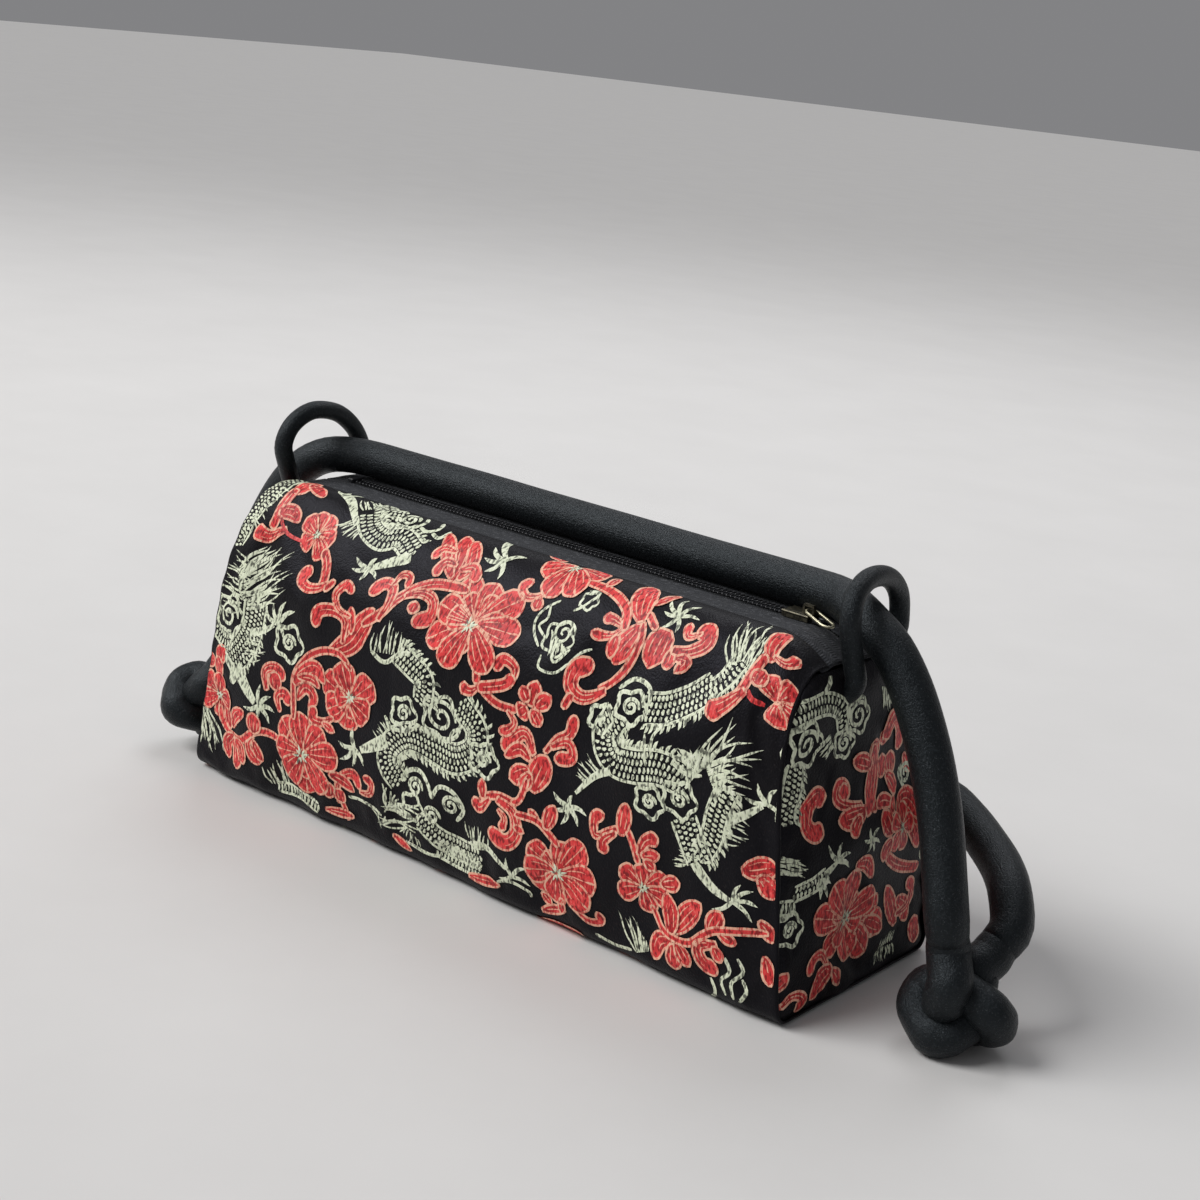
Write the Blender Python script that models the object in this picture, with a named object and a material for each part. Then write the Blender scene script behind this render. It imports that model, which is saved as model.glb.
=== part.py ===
"""A zipped brocade handbag with a knotted rope handle, in metres, standing on its base on z = 0.

+X runs along the zip towards its closed end, -Y is the front and +Z is up. The origin is the
middle of the base.
"""
import math

import bmesh
import bpy
from mathutils import Matrix, Vector

# Outside of the bag
BASE_LENGTH = 0.250
TOP_LENGTH = 0.221
BODY_HEIGHT = 0.1065
HALF_DEPTH = 0.0415
CREST_HALF_DEPTH = 0.0205
SHOULDER_HEIGHT = 0.062
BASE_CORNER_RADIUS = 0.006
FACE_BULGE = 0.0015
END_BULGE = 0.003
END_DROP = 0.0065
END_DROP_LENGTH = 0.0155

# Layers of the wall, from the outside in
BROCADE_THICKNESS = 0.0009
PADDING_THICKNESS = 0.0022
LINING_THICKNESS = 0.0006
LAYER_GAP = 0.0003
PADDING_TOP_SETBACK = 0.0008

# Zip tapes and the two rows of teeth
ZIP_SLIT = 0.0013
TAPE_SHOWING = 0.01685
TAPE_TUCK = 0.003
TAPE_THICKNESS = 0.0006
TAPE_UNDER_FOLD_GAP = 0.0004
TEETH_WIDTH = 0.0020
TEETH_BASE_HEIGHT = 0.0005
TOOTH_HEIGHT = 0.0004
TOOTH_PITCH = 0.0016
STOP_LENGTH = 0.0024
STOP_HEIGHT = 0.0012
STOP_GAP = 0.0004

# Slider and pull
SLIDER_LENGTH = 0.0095
SLIDER_PLATE_THICKNESS = 0.0007
SLIDER_CLEARANCE = 0.0003
SLIDER_FLANGE = 0.0006
SLIDER_POST_THICKNESS = 0.0006
SLIDER_POST_LENGTH = 0.0025
BRIDGE_WIDTH = 0.0012
BRIDGE_WALL = 0.0007
BRIDGE_HOLE_LENGTH = 0.0026
BRIDGE_HOLE_HEIGHT = 0.0020
BRIDGE_FROM_NOSE = 0.00205
PULL_LENGTH = 0.0130
PULL_WIDTH = 0.0048
PULL_RAIL = 0.0008
PULL_THICKNESS = 0.0008
PULL_YAW = math.radians(-25)
PULL_REST_SLOPE = math.radians(7.5)

# Rope handle, its knots and the two loops
HANDLE_DIAMETER = 0.0127
HANDLE_POINT_SPACING = 0.0078
LOOP_DIAMETER = 0.0062
LOOP_POINT_SPACING = 0.0045
CORD_BEVEL_RESOLUTION = 3
KNOT_CORD_DIAMETER = 0.0112
KNOT_SPREAD = 0.0037
KNOT_DEPTH = 0.0056
KNOT_OPENING = 0.45
KNOT_VOXEL = 0.0016
KNOT_FACE_SHARE = 0.30
KNOT_FLOOR_GAP = 0.0006
KNOT_EXIT_GAP = 0.0010
KNOT_FACING = math.radians(37.7)
KNOT_TOP_EXIT = (-0.0055, 0.0175, 0.0)
KNOT_TOP_DIRECTION = (-0.20, 0.98, 0.0)
KNOT_SIDE_EXIT = (0.0098, 0.0120, -0.0105)
KNOT_SIDE_DIRECTION = (0.55, 0.62, -0.56)
KNOT_STUB = 0.0025
HANDLE_LEAD = 0.008
KNOT_RIGHT_PLACE = (0.164, -0.010)
KNOT_RIGHT_TURN = 0.0
KNOT_LEFT_PLACE = (-0.140, -0.0235)
KNOT_LEFT_TURN = math.radians(-40)

# Routes chosen by hand. A loop's points are measured out from the bag's top end and up from its crest.
LOOP_RIGHT_ROUTE = [
    (0.0064, -0.0098, -0.0120), (0.0056, -0.0112, -0.0055),
    (0.0050, -0.0132, 0.0010), (0.0046, -0.0143, 0.0070), (0.0034, -0.0117, 0.0130),
    (0.0022, -0.0050, 0.0164), (0.0014, 0.0035, 0.0166), (0.0006, 0.0120, 0.0141),
    (0.0002, 0.0182, 0.0091), (0.0002, 0.0204, 0.0032), (0.0004, 0.0202, -0.0028),
]
LOOP_LEFT_ROUTE = [
    (0.0064, -0.0100, -0.0120), (0.0054, -0.0122, -0.0045),
    (0.0042, -0.0160, 0.0030), (0.0038, -0.0182, 0.0100), (0.0032, -0.0150, 0.0170),
    (0.0022, -0.0072, 0.0213), (0.0012, 0.0027, 0.0202), (0.0006, 0.0102, 0.0154),
    (0.0004, 0.0148, 0.0094), (0.0004, 0.0172, 0.0032), (0.0004, 0.0182, -0.0028),
]
HANDLE_TOP_ROUTE = [
    (-0.1365, -0.0135, 0.0570), (-0.1368, -0.0080, 0.0750),
    (-0.1320, -0.0025, 0.0930), (-0.1235, -0.0005, 0.1045), (-0.1135, 0.0025, 0.1110),
    (-0.1020, 0.0075, 0.1123), (-0.0800, 0.0096, 0.1120), (-0.0500, 0.0098, 0.1120),
    (-0.0200, 0.0096, 0.1120), (0.0100, 0.0094, 0.1120), (0.0400, 0.0093, 0.1120),
    (0.0700, 0.0093, 0.1120), (0.0880, 0.0091, 0.1121), (0.0975, 0.0079, 0.1122),
    (0.1050, 0.0040, 0.1117), (0.1128, 0.0008, 0.1096), (0.1218, -0.0010, 0.1048),
    (0.1298, -0.0025, 0.0968), (0.1368, -0.0042, 0.0870), (0.1434, -0.0062, 0.0755),
    (0.1500, -0.0090, 0.0610),
]
HANDLE_BACK_ROUTE = [
    (-0.1345, 0.0170, 0.0128), (-0.1345, 0.0330, 0.0072),
    (-0.1295, 0.0475, 0.0066), (-0.1130, 0.0535, 0.0066), (-0.0750, 0.0545, 0.0066),
    (-0.0450, 0.0540, 0.0066), (-0.0150, 0.0532, 0.0066), (0.0130, 0.0528, 0.0070),
    (0.0370, 0.0526, 0.0095), (0.0560, 0.0522, 0.0170), (0.0720, 0.0518, 0.0290),
    (0.0870, 0.0516, 0.0385), (0.1030, 0.0518, 0.0450), (0.1190, 0.0510, 0.0462),
    (0.1312, 0.0450, 0.0445), (0.1422, 0.0370, 0.0425), (0.1526, 0.0280, 0.0405),
    (0.1605, 0.0190, 0.0378),
]

# Sizes that follow from the ones above
TAPE_TOP = BODY_HEIGHT - BROCADE_THICKNESS - TAPE_UNDER_FOLD_GAP
TAPE_BOTTOM = TAPE_TOP - TAPE_THICKNESS
TAPE_INNER_EDGE = ZIP_SLIT / 2
FOLD_EDGE = TAPE_INNER_EDGE + TAPE_SHOWING
TAPE_OUTER_EDGE = FOLD_EDGE + TAPE_TUCK
TEETH_HALF_LENGTH = TOP_LENGTH / 2 - END_DROP_LENGTH
TEETH_BOTTOM = TAPE_TOP + LAYER_GAP
TEETH_TOP = TEETH_BOTTOM + TEETH_BASE_HEIGHT + TOOTH_HEIGHT
PADDING_DEPTH = BROCADE_THICKNESS + LAYER_GAP
LINING_DEPTH = PADDING_DEPTH + PADDING_THICKNESS + LAYER_GAP
SLIDER_NOSE = TEETH_HALF_LENGTH - STOP_GAP
PLATE_BOTTOM = TEETH_TOP + SLIDER_CLEARANCE
PLATE_TOP = PLATE_BOTTOM + SLIDER_PLATE_THICKNESS
FLANGE_INSIDE = TAPE_INNER_EDGE + TEETH_WIDTH + SLIDER_CLEARANCE
SLIDER_HALF_WIDTH = FLANGE_INSIDE + SLIDER_FLANGE
PULL_AXIS_X = SLIDER_NOSE - BRIDGE_FROM_NOSE
PULL_AXIS_Z = PLATE_TOP + BRIDGE_HOLE_HEIGHT / 2

BASE_STEPS = 2
CORNER_STEPS = 3
SIDE_STEPS = 3
SHOULDER_STEPS = 7
FLAT_STEPS = 6
DROP_STEPS = 3
END_RINGS = (1.0, 0.72, 0.4)


def clear_scene():
    for old in list(bpy.data.objects):
        bpy.data.objects.remove(old, do_unlink=True)


def make_material(name, colour, roughness, metallic=0.0):
    material = bpy.data.materials.new(name)
    material.use_nodes = True
    shader = material.node_tree.nodes["Principled BSDF"]
    shader.inputs["Base Color"].default_value = (*colour, 1.0)
    shader.inputs["Roughness"].default_value = roughness
    shader.inputs["Metallic"].default_value = metallic
    return material


def add_object(name, data, material):
    piece = bpy.data.objects.new(name, data)
    bpy.context.scene.collection.objects.link(piece)
    if material:
        data.materials.append(material)
    return piece


def mesh_object(name, bm, material, smooth=True):
    bmesh.ops.recalc_face_normals(bm, faces=bm.faces)
    mesh = bpy.data.meshes.new(name)
    bm.to_mesh(mesh)
    bm.free()
    if smooth:
        mesh.shade_smooth()
        mesh.set_sharp_from_angle(angle=math.radians(40))
    return add_object(name, mesh, material)


def add_thickness(piece, thickness):
    """Thickens a surface towards the inside of the bag."""
    solidify = piece.modifiers.new("thickness", "SOLIDIFY")
    solidify.thickness = thickness
    solidify.offset = -1.0
    solidify.use_even_offset = True


# The bag's outer form

def half_length(z):
    """The leaning end's distance from the middle at height z."""
    return BASE_LENGTH / 2 - (BASE_LENGTH - TOP_LENGTH) / 2 * z / BODY_HEIGHT


def top_drop(share):
    """How far the top has rounded down at this share of the half length."""
    from_end = (1 - abs(share)) * TOP_LENGTH / 2
    return END_DROP * max(0.0, 1 - from_end / END_DROP_LENGTH) ** 2


def face_bulge(share, z):
    """How far the front or back swells out between its seams."""
    rise = min(max(z / BODY_HEIGHT, 0.0), 1.0)
    return FACE_BULGE * (1 - share ** 2) * math.sin(math.pi * rise)


def end_bulge(y, z):
    """How far an end panel swells out between its seams."""
    across = 1 - (y / HALF_DEPTH) ** 2
    upward = 1 - (2 * z / BODY_HEIGHT - 1) ** 2
    return END_BULGE * max(across, 0.0) * max(upward, 0.0)


def wall_outline(share, edge_y):
    """The back half of the cross-section, from the middle of the base to the top edge at edge_y."""
    crest = BODY_HEIGHT - top_drop(share)
    flat = HALF_DEPTH - BASE_CORNER_RADIUS
    points = [(flat * step / BASE_STEPS, 0.0) for step in range(BASE_STEPS)]
    for step in range(CORNER_STEPS + 1):
        angle = math.pi / 2 * step / CORNER_STEPS
        points.append((flat + BASE_CORNER_RADIUS * math.sin(angle),
                       BASE_CORNER_RADIUS * (1 - math.cos(angle))))
    for step in range(1, SIDE_STEPS):
        rise = (SHOULDER_HEIGHT - BASE_CORNER_RADIUS) * step / SIDE_STEPS
        points.append((HALF_DEPTH, BASE_CORNER_RADIUS + rise))
    shoulder_run = HALF_DEPTH - CREST_HALF_DEPTH
    last_angle = math.acos(max(edge_y - CREST_HALF_DEPTH, 0.0) / shoulder_run)
    for step in range(SHOULDER_STEPS + 1):
        angle = last_angle * step / SHOULDER_STEPS
        points.append((CREST_HALF_DEPTH + shoulder_run * math.cos(angle),
                       SHOULDER_HEIGHT + (crest - SHOULDER_HEIGHT) * math.sin(angle)))
    if edge_y < CREST_HALF_DEPTH:
        points.append((edge_y, crest))
    return points


def inset(points, depth):
    """The outline moved inwards by depth along its own normals."""
    moved = []
    for index, (y, z) in enumerate(points):
        before = Vector(points[max(index - 1, 0)])
        after = Vector(points[min(index + 1, len(points) - 1)])
        along = (after - before).normalized()
        moved.append((y - along.y * depth, z + along.x * depth))
    return moved


def cross_section(share, depth, edge_y):
    """The whole outline at one station, front top edge to back top edge, as (y, z) pairs."""
    back = inset(wall_outline(share, edge_y), depth)
    front = [(-y, z) for y, z in reversed(back[1:])]
    return front + back


def station_shares():
    """Stations along the bag, closer together where the top rounds down."""
    drop_starts = TEETH_HALF_LENGTH / (TOP_LENGTH / 2)
    flat = [drop_starts * (2 * step / FLAT_STEPS - 1) for step in range(FLAT_STEPS + 1)]
    ends = [drop_starts + (1 - drop_starts) * (step + 1) / DROP_STEPS for step in range(DROP_STEPS)]
    return [-share for share in reversed(ends)] + flat + ends


def grid_object(name, rows, thickness, material):
    """A sheet through rows of points, thickened inwards. It faces out where +X and a row's way do."""
    bm = bmesh.new()
    grid = [[bm.verts.new(place) for place in row] for row in rows]
    for near, far in zip(grid, grid[1:]):
        for index in range(len(near) - 1):
            bm.faces.new((near[index], far[index], far[index + 1], near[index + 1]))
    mesh = bpy.data.meshes.new(name)
    bm.to_mesh(mesh)
    bm.free()
    mesh.shade_smooth()
    piece = add_object(name, mesh, material)
    add_thickness(piece, thickness)
    return piece


# Walls

def wrap_layer(name, depth, end_depth, edge_y, thickness, material):
    """One layer of the sheet that runs down the front, under the base and up the back."""
    rows = []
    for share in station_shares():
        row = []
        for y, z in reversed(cross_section(share, depth, edge_y)):
            side = math.copysign(1.0, y) if y else 0.0
            row.append((share * (half_length(z) - end_depth), y + side * face_bulge(share, z), z))
        rows.append(row)
    return grid_object(name, rows, thickness, material)


def end_layer(name, side, depth, end_depth, thickness, material):
    """One layer of an end panel: a swollen sheet that fills the outline inside the wrap."""
    ceiling = TAPE_BOTTOM - LAYER_GAP - END_DROP
    outline = [(y, min(z, ceiling)) for y, z in cross_section(1.0, depth, CREST_HALF_DEPTH)]
    middle_z = ceiling / 2
    bm = bmesh.new()

    def place(y, z):
        return bm.verts.new((side * (half_length(z) - end_depth + end_bulge(y, z)), y, z))

    rings = []
    for scale in END_RINGS:
        rings.append([place(y * scale, middle_z + (z - middle_z) * scale) for y, z in outline])
    centre = place(0.0, middle_z)
    count = len(outline)
    for outer, inner in zip(rings, rings[1:]):
        for index in range(count):
            after = (index + 1) % count
            bm.faces.new((outer[index], outer[after], inner[after], inner[index]))
    for index in range(count):
        bm.faces.new((rings[-1][index], rings[-1][(index + 1) % count], centre))
    bmesh.ops.recalc_face_normals(bm, faces=bm.faces)
    if sum(face.normal.x * side for face in bm.faces) < 0:
        bmesh.ops.reverse_faces(bm, faces=bm.faces)
    mesh = bpy.data.meshes.new(name)
    bm.to_mesh(mesh)
    bm.free()
    mesh.shade_smooth()
    piece = add_object(name, mesh, material)
    add_thickness(piece, thickness)
    return piece


def build_walls(materials):
    wrap_layer("brocade_wrap", 0.0, 0.0, FOLD_EDGE, BROCADE_THICKNESS, materials["brocade"])
    padding_edge = TAPE_OUTER_EDGE + PADDING_TOP_SETBACK
    wrap_layer("padding_wrap", PADDING_DEPTH, PADDING_DEPTH, padding_edge, PADDING_THICKNESS,
               materials["padding"])
    wrap_layer("lining_wrap", LINING_DEPTH, LINING_DEPTH, FOLD_EDGE, LINING_THICKNESS,
               materials["lining"])
    padding_outline = PADDING_DEPTH + PADDING_THICKNESS + LAYER_GAP
    lining_outline = LINING_DEPTH + LINING_THICKNESS + LAYER_GAP
    for end, side in (("left", -1), ("right", 1)):
        end_layer("end_panel_" + end, side, BROCADE_THICKNESS + LAYER_GAP, 0.0, BROCADE_THICKNESS,
                  materials["brocade"])
        end_layer("padding_end_" + end, side, padding_outline, PADDING_DEPTH, PADDING_THICKNESS,
                  materials["padding"])
        end_layer("lining_end_" + end, side, lining_outline, LINING_DEPTH, LINING_THICKNESS,
                  materials["lining"])


# Zip

def zip_tape(name, side, material):
    """One woven tape, from the slit to under the brocade's folded edge."""
    rows = []
    for share in station_shares():
        z = TAPE_TOP - top_drop(share)
        x = share * half_length(z)
        edges = [(x, side * TAPE_INNER_EDGE, z), (x, side * FOLD_EDGE, z),
                 (x, side * TAPE_OUTER_EDGE, z)]
        rows.append(edges if side > 0 else edges[::-1])
    return grid_object(name, rows, TAPE_THICKNESS, material)


def zip_teeth(name, side, material):
    """One row of teeth, a ridged strip cut across at the tooth pitch."""
    count = math.floor(2 * TEETH_HALF_LENGTH / TOOTH_PITCH)
    start = -count * TOOTH_PITCH / 2
    valley = TEETH_BOTTOM + TEETH_BASE_HEIGHT
    profile = [(start, TEETH_BOTTOM), (start, valley)]
    for tooth in range(count):
        profile.append((start + (tooth + 0.5) * TOOTH_PITCH, TEETH_TOP))
        profile.append((start + (tooth + 1.0) * TOOTH_PITCH, valley))
    profile.append((-start, TEETH_BOTTOM))
    bm = bmesh.new()
    inner = side * TAPE_INNER_EDGE
    outline = bm.faces.new([bm.verts.new((x, inner, z)) for x, z in profile])
    grown = bmesh.ops.extrude_face_region(bm, geom=[outline])
    moving = [item for item in grown["geom"] if isinstance(item, bmesh.types.BMVert)]
    bmesh.ops.translate(bm, verts=moving, vec=(0, side * TEETH_WIDTH, 0))
    return mesh_object(name, bm, material, smooth=False)


def box(name, low, high, material, bevel=0.0):
    """A box between two corners, with its edges rounded by bevel."""
    bm = bmesh.new()
    bmesh.ops.create_cube(bm, size=1.0)
    size = Vector(high) - Vector(low)
    bmesh.ops.scale(bm, vec=size, verts=bm.verts)
    bmesh.ops.translate(bm, vec=(Vector(high) + Vector(low)) / 2, verts=bm.verts)
    if bevel:
        bmesh.ops.bevel(bm, geom=bm.edges[:], offset=bevel, segments=1, affect="EDGES")
    return mesh_object(name, bm, material, smooth=False)


def zip_stops(material):
    """The small stops that end the teeth: one on each tape at the closed end, one across the other."""
    bevel = STOP_HEIGHT / 5
    start = TEETH_HALF_LENGTH + STOP_GAP
    for half, side in (("front", -1), ("back", 1)):
        edges = sorted((side * TAPE_INNER_EDGE, side * (TAPE_INNER_EDGE + TEETH_WIDTH)))
        box("zip_top_stop_" + half, (start, edges[0], TEETH_BOTTOM),
            (start + STOP_LENGTH, edges[1], TEETH_BOTTOM + STOP_HEIGHT), material, bevel)
    reach = TAPE_INNER_EDGE + TEETH_WIDTH
    box("zip_bottom_stop", (-start - STOP_LENGTH, -reach, TEETH_BOTTOM),
        (-start, reach, TEETH_BOTTOM + STOP_HEIGHT), material, bevel)


def unite(piece, operand):
    """Joins a hidden operand to a piece."""
    operand.hide_render = True
    operand.display_type = "WIRE"
    union = piece.modifiers.new("join_" + operand.name, "BOOLEAN")
    union.operation = "UNION"
    union.solver = "EXACT"
    union.object = operand


def bridge_arch():
    """The arch on the slider that the pull hangs in, as one extruded outline."""
    half_hole = BRIDGE_HOLE_LENGTH / 2
    half_out = half_hole + BRIDGE_WALL
    root = PLATE_TOP - SLIDER_PLATE_THICKNESS / 2
    hole_top = PLATE_TOP + BRIDGE_HOLE_HEIGHT
    chamfer = BRIDGE_WALL / 2
    outline = [(-half_out, root), (-half_out, hole_top), (chamfer - half_out, hole_top + BRIDGE_WALL),
               (half_out - chamfer, hole_top + BRIDGE_WALL), (half_out, hole_top), (half_out, root),
               (half_hole, root), (half_hole, hole_top), (-half_hole, hole_top), (-half_hole, root)]
    bm = bmesh.new()
    face = bm.faces.new([bm.verts.new((PULL_AXIS_X + x, -BRIDGE_WIDTH / 2, z)) for x, z in outline])
    grown = bmesh.ops.extrude_face_region(bm, geom=[face])
    moving = [item for item in grown["geom"] if isinstance(item, bmesh.types.BMVert)]
    bmesh.ops.translate(bm, verts=moving, vec=(0, BRIDGE_WIDTH, 0))
    return mesh_object("bridge_operand", bm, None, smooth=False)


def zip_slider(material):
    """Two plates round the teeth, joined by a post in the slit, with flanges and a bridge."""
    tail = SLIDER_NOSE - SLIDER_LENGTH
    low_plate_top = TAPE_BOTTOM - SLIDER_CLEARANCE
    low_plate_bottom = low_plate_top - SLIDER_PLATE_THICKNESS
    bevel = SLIDER_PLATE_THICKNESS / 3
    slider = box("zip_slider", (tail, -SLIDER_HALF_WIDTH, PLATE_BOTTOM),
                 (SLIDER_NOSE, SLIDER_HALF_WIDTH, PLATE_TOP), material, bevel)
    unite(slider, box("low_plate_operand", (tail, -SLIDER_HALF_WIDTH, low_plate_bottom),
                      (SLIDER_NOSE, SLIDER_HALF_WIDTH, low_plate_top), None, bevel))
    for half, side in (("front", -1), ("back", 1)):
        edges = sorted((side * FLANGE_INSIDE, side * (SLIDER_HALF_WIDTH - bevel)))
        unite(slider, box("flange_operand_" + half,
                          (tail + bevel, edges[0], TAPE_TOP + SLIDER_CLEARANCE),
                          (SLIDER_NOSE - bevel, edges[1], PLATE_TOP - bevel), None))
    unite(slider, box("post_operand",
                      (SLIDER_NOSE - bevel - SLIDER_POST_LENGTH, -SLIDER_POST_THICKNESS / 2,
                       low_plate_bottom + bevel),
                      (SLIDER_NOSE - bevel, SLIDER_POST_THICKNESS / 2, PLATE_TOP - bevel), None))
    unite(slider, bridge_arch())
    return slider


def stadium(bm, length, width, start_x, steps=8):
    """A loop of vertices round a flat slot shape that starts at start_x."""
    radius = width / 2
    points = []
    for step in range(steps + 1):
        angle = math.pi * step / steps - math.pi / 2
        points.append((start_x + length - radius + radius * math.cos(angle), radius * math.sin(angle)))
    for step in range(steps + 1):
        angle = math.pi * step / steps + math.pi / 2
        points.append((start_x + radius + radius * math.cos(angle), radius * math.sin(angle)))
    verts = [bm.verts.new((x, y, 0.0)) for x, y in points]
    return [bm.edges.new((verts[index - 1], verts[index])) for index in range(len(verts))]


def zip_pull(material):
    """An oval ring through the slider's bridge, with its origin on the axis that it swings about."""
    bm = bmesh.new()
    near_end = -PULL_RAIL / 2
    outer = stadium(bm, PULL_LENGTH, PULL_WIDTH, near_end)
    inner = stadium(bm, PULL_LENGTH - 2 * PULL_RAIL, PULL_WIDTH - 2 * PULL_RAIL,
                    near_end + PULL_RAIL)
    ring = bmesh.ops.bridge_loops(bm, edges=outer + inner)["faces"]
    grown = bmesh.ops.extrude_face_region(bm, geom=ring)
    moving = [item for item in grown["geom"] if isinstance(item, bmesh.types.BMVert)]
    bmesh.ops.translate(bm, verts=moving, vec=(0, 0, PULL_THICKNESS))
    bmesh.ops.translate(bm, verts=bm.verts, vec=(0, 0, -PULL_THICKNESS / 2))
    pull = mesh_object("zip_pull", bm, material)
    pull.rotation_euler = (0.0, PULL_REST_SLOPE, PULL_YAW)
    pull.location = (PULL_AXIS_X, 0.0, PULL_AXIS_Z)
    return pull


def build_zip(materials):
    for half, side in (("front", -1), ("back", 1)):
        zip_tape("zip_tape_" + half, side, materials["tape"])
        zip_teeth("zip_teeth_" + half, side, materials["teeth"])
    zip_stops(materials["teeth"])
    zip_slider(materials["slider"])
    zip_pull(materials["pull"])


# Cords

def route_point(before, start, end, after, t):
    """A point on the smooth curve from start to end, t from 0 to 1."""
    return 0.5 * (2 * start + (end - before) * t
                  + (2 * before - 5 * start + 4 * end - after) * t ** 2
                  + (3 * start - before - 3 * end + after) * t ** 3)


def smooth_route(route, spacing):
    """Points a set distance apart on the smooth curve through a route."""
    stops = [Vector(place) for place in route]
    stops = [2 * stops[0] - stops[1]] + stops + [2 * stops[-1] - stops[-2]]
    fine = []
    for index in range(1, len(stops) - 2):
        fine += [route_point(*stops[index - 1:index + 3], step / 24) for step in range(24)]
    fine.append(stops[-2])
    travelled = [0.0]
    for start, end in zip(fine, fine[1:]):
        travelled.append(travelled[-1] + (end - start).length)
    count = max(2, round(travelled[-1] / spacing))
    even = []
    index = 0
    for step in range(count + 1):
        distance = travelled[-1] * step / count
        while index < len(fine) - 2 and travelled[index + 1] < distance:
            index += 1
        stretch = travelled[index + 1] - travelled[index]
        even.append(fine[index].lerp(fine[index + 1], (distance - travelled[index]) / stretch))
    return even


def cord_object(name, points, diameter, material):
    """A round tube along points."""
    curve = bpy.data.curves.new(name, "CURVE")
    curve.dimensions = "3D"
    curve.bevel_depth = diameter / 2
    curve.bevel_resolution = CORD_BEVEL_RESOLUTION
    curve.use_fill_caps = True
    spline = curve.splines.new("POLY")
    spline.points.add(len(points) - 1)
    for point, place in zip(spline.points, points):
        point.co = (*place, 1.0)
    return add_object(name, curve, material)


def knot_flat_points():
    """One overhand knot in its own plane, side exit to top exit, as (across, up, towards) points."""
    side = Vector(KNOT_SIDE_EXIT)
    points = [side, side - KNOT_STUB * Vector(KNOT_SIDE_DIRECTION)]
    steps = 40
    for step in range(steps + 1):
        turn = math.pi + KNOT_OPENING + (2 * math.pi - 2 * KNOT_OPENING) * step / steps
        points.append(Vector((KNOT_SPREAD * (math.sin(turn) + 2 * math.sin(2 * turn)),
                              KNOT_SPREAD * (2 * math.cos(2 * turn) - math.cos(turn)),
                              KNOT_DEPTH * math.sin(3 * turn))))
    top = Vector(KNOT_TOP_EXIT)
    points += [top - KNOT_STUB * Vector(KNOT_TOP_DIRECTION), top]
    return points


def knot_frame(place, turn):
    """The matrix that stands a flat knot on the floor at a place, turned in its own plane."""
    across = Vector((math.cos(KNOT_FACING), math.sin(KNOT_FACING), 0.0))
    towards = Vector((math.sin(KNOT_FACING), -math.cos(KNOT_FACING), 0.0))
    axes = Matrix((across, Vector((0.0, 0.0, 1.0)), towards)).transposed()
    turned = axes @ Matrix.Rotation(turn, 3, "Z")
    lowest = min((turned @ point).z for point in knot_flat_points())
    height = KNOT_FLOOR_GAP + KNOT_CORD_DIAMETER / 2 - lowest
    return Matrix.Translation((*place, height)) @ turned.to_4x4()


def knot_exit(place, turn, flat_exit, flat_direction):
    """A strand's end a gap off the knot, and the point where it has left the knot straight."""
    frame = knot_frame(place, turn)
    outward = Vector(flat_direction).normalized()
    start = Vector(flat_exit) + KNOT_EXIT_GAP * outward
    return [frame @ start, frame @ (start + HANDLE_LEAD * outward)]


def knot_object(name, place, turn, material):
    """A pulled-tight overhand knot, its crossing turns merged into one body."""
    frame = knot_frame(place, turn)
    points = smooth_route([frame @ point for point in knot_flat_points()], KNOT_SPREAD / 2)
    guide = cord_object(name + "_guide", points, KNOT_CORD_DIAMETER, None)
    bpy.context.view_layer.update()
    evaluated = guide.evaluated_get(bpy.context.evaluated_depsgraph_get())
    mesh = bpy.data.meshes.new_from_object(evaluated)
    bpy.data.objects.remove(guide, do_unlink=True)
    mesh.name = name
    knot = add_object(name, mesh, material)
    remesh = knot.modifiers.new("merge", "REMESH")
    remesh.mode = "VOXEL"
    remesh.voxel_size = KNOT_VOXEL
    remesh.use_smooth_shade = True
    decimate = knot.modifiers.new("fewer_faces", "DECIMATE")
    decimate.ratio = KNOT_FACE_SHARE
    return knot


def loop_points(route, side):
    """A loop's route placed on one end of the bag."""
    places = [(side * (TOP_LENGTH / 2 + out), y, BODY_HEIGHT + up) for out, y, up in route]
    return smooth_route(places, LOOP_POINT_SPACING)


def build_handle(materials):
    cord_object("loop_left", loop_points(LOOP_LEFT_ROUTE, -1), LOOP_DIAMETER, materials["rope"])
    cord_object("loop_right", loop_points(LOOP_RIGHT_ROUTE, 1), LOOP_DIAMETER, materials["rope"])
    knot_object("knot_left", KNOT_LEFT_PLACE, KNOT_LEFT_TURN, materials["rope"])
    knot_object("knot_right", KNOT_RIGHT_PLACE, KNOT_RIGHT_TURN, materials["rope"])
    top_exit = (KNOT_TOP_EXIT, KNOT_TOP_DIRECTION)
    side_exit = (KNOT_SIDE_EXIT, KNOT_SIDE_DIRECTION)
    left, right = (KNOT_LEFT_PLACE, KNOT_LEFT_TURN), (KNOT_RIGHT_PLACE, KNOT_RIGHT_TURN)
    top_route = knot_exit(*left, *top_exit) + HANDLE_TOP_ROUTE + knot_exit(*right, *top_exit)[::-1]
    back_route = knot_exit(*left, *side_exit) + HANDLE_BACK_ROUTE + knot_exit(*right, *side_exit)[::-1]
    over_top = smooth_route(top_route, HANDLE_POINT_SPACING)
    behind = smooth_route(back_route, HANDLE_POINT_SPACING)
    cord_object("handle_strand_top", over_top, HANDLE_DIAMETER, materials["rope"])
    cord_object("handle_strand_back", behind, HANDLE_DIAMETER, materials["rope"])


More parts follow.
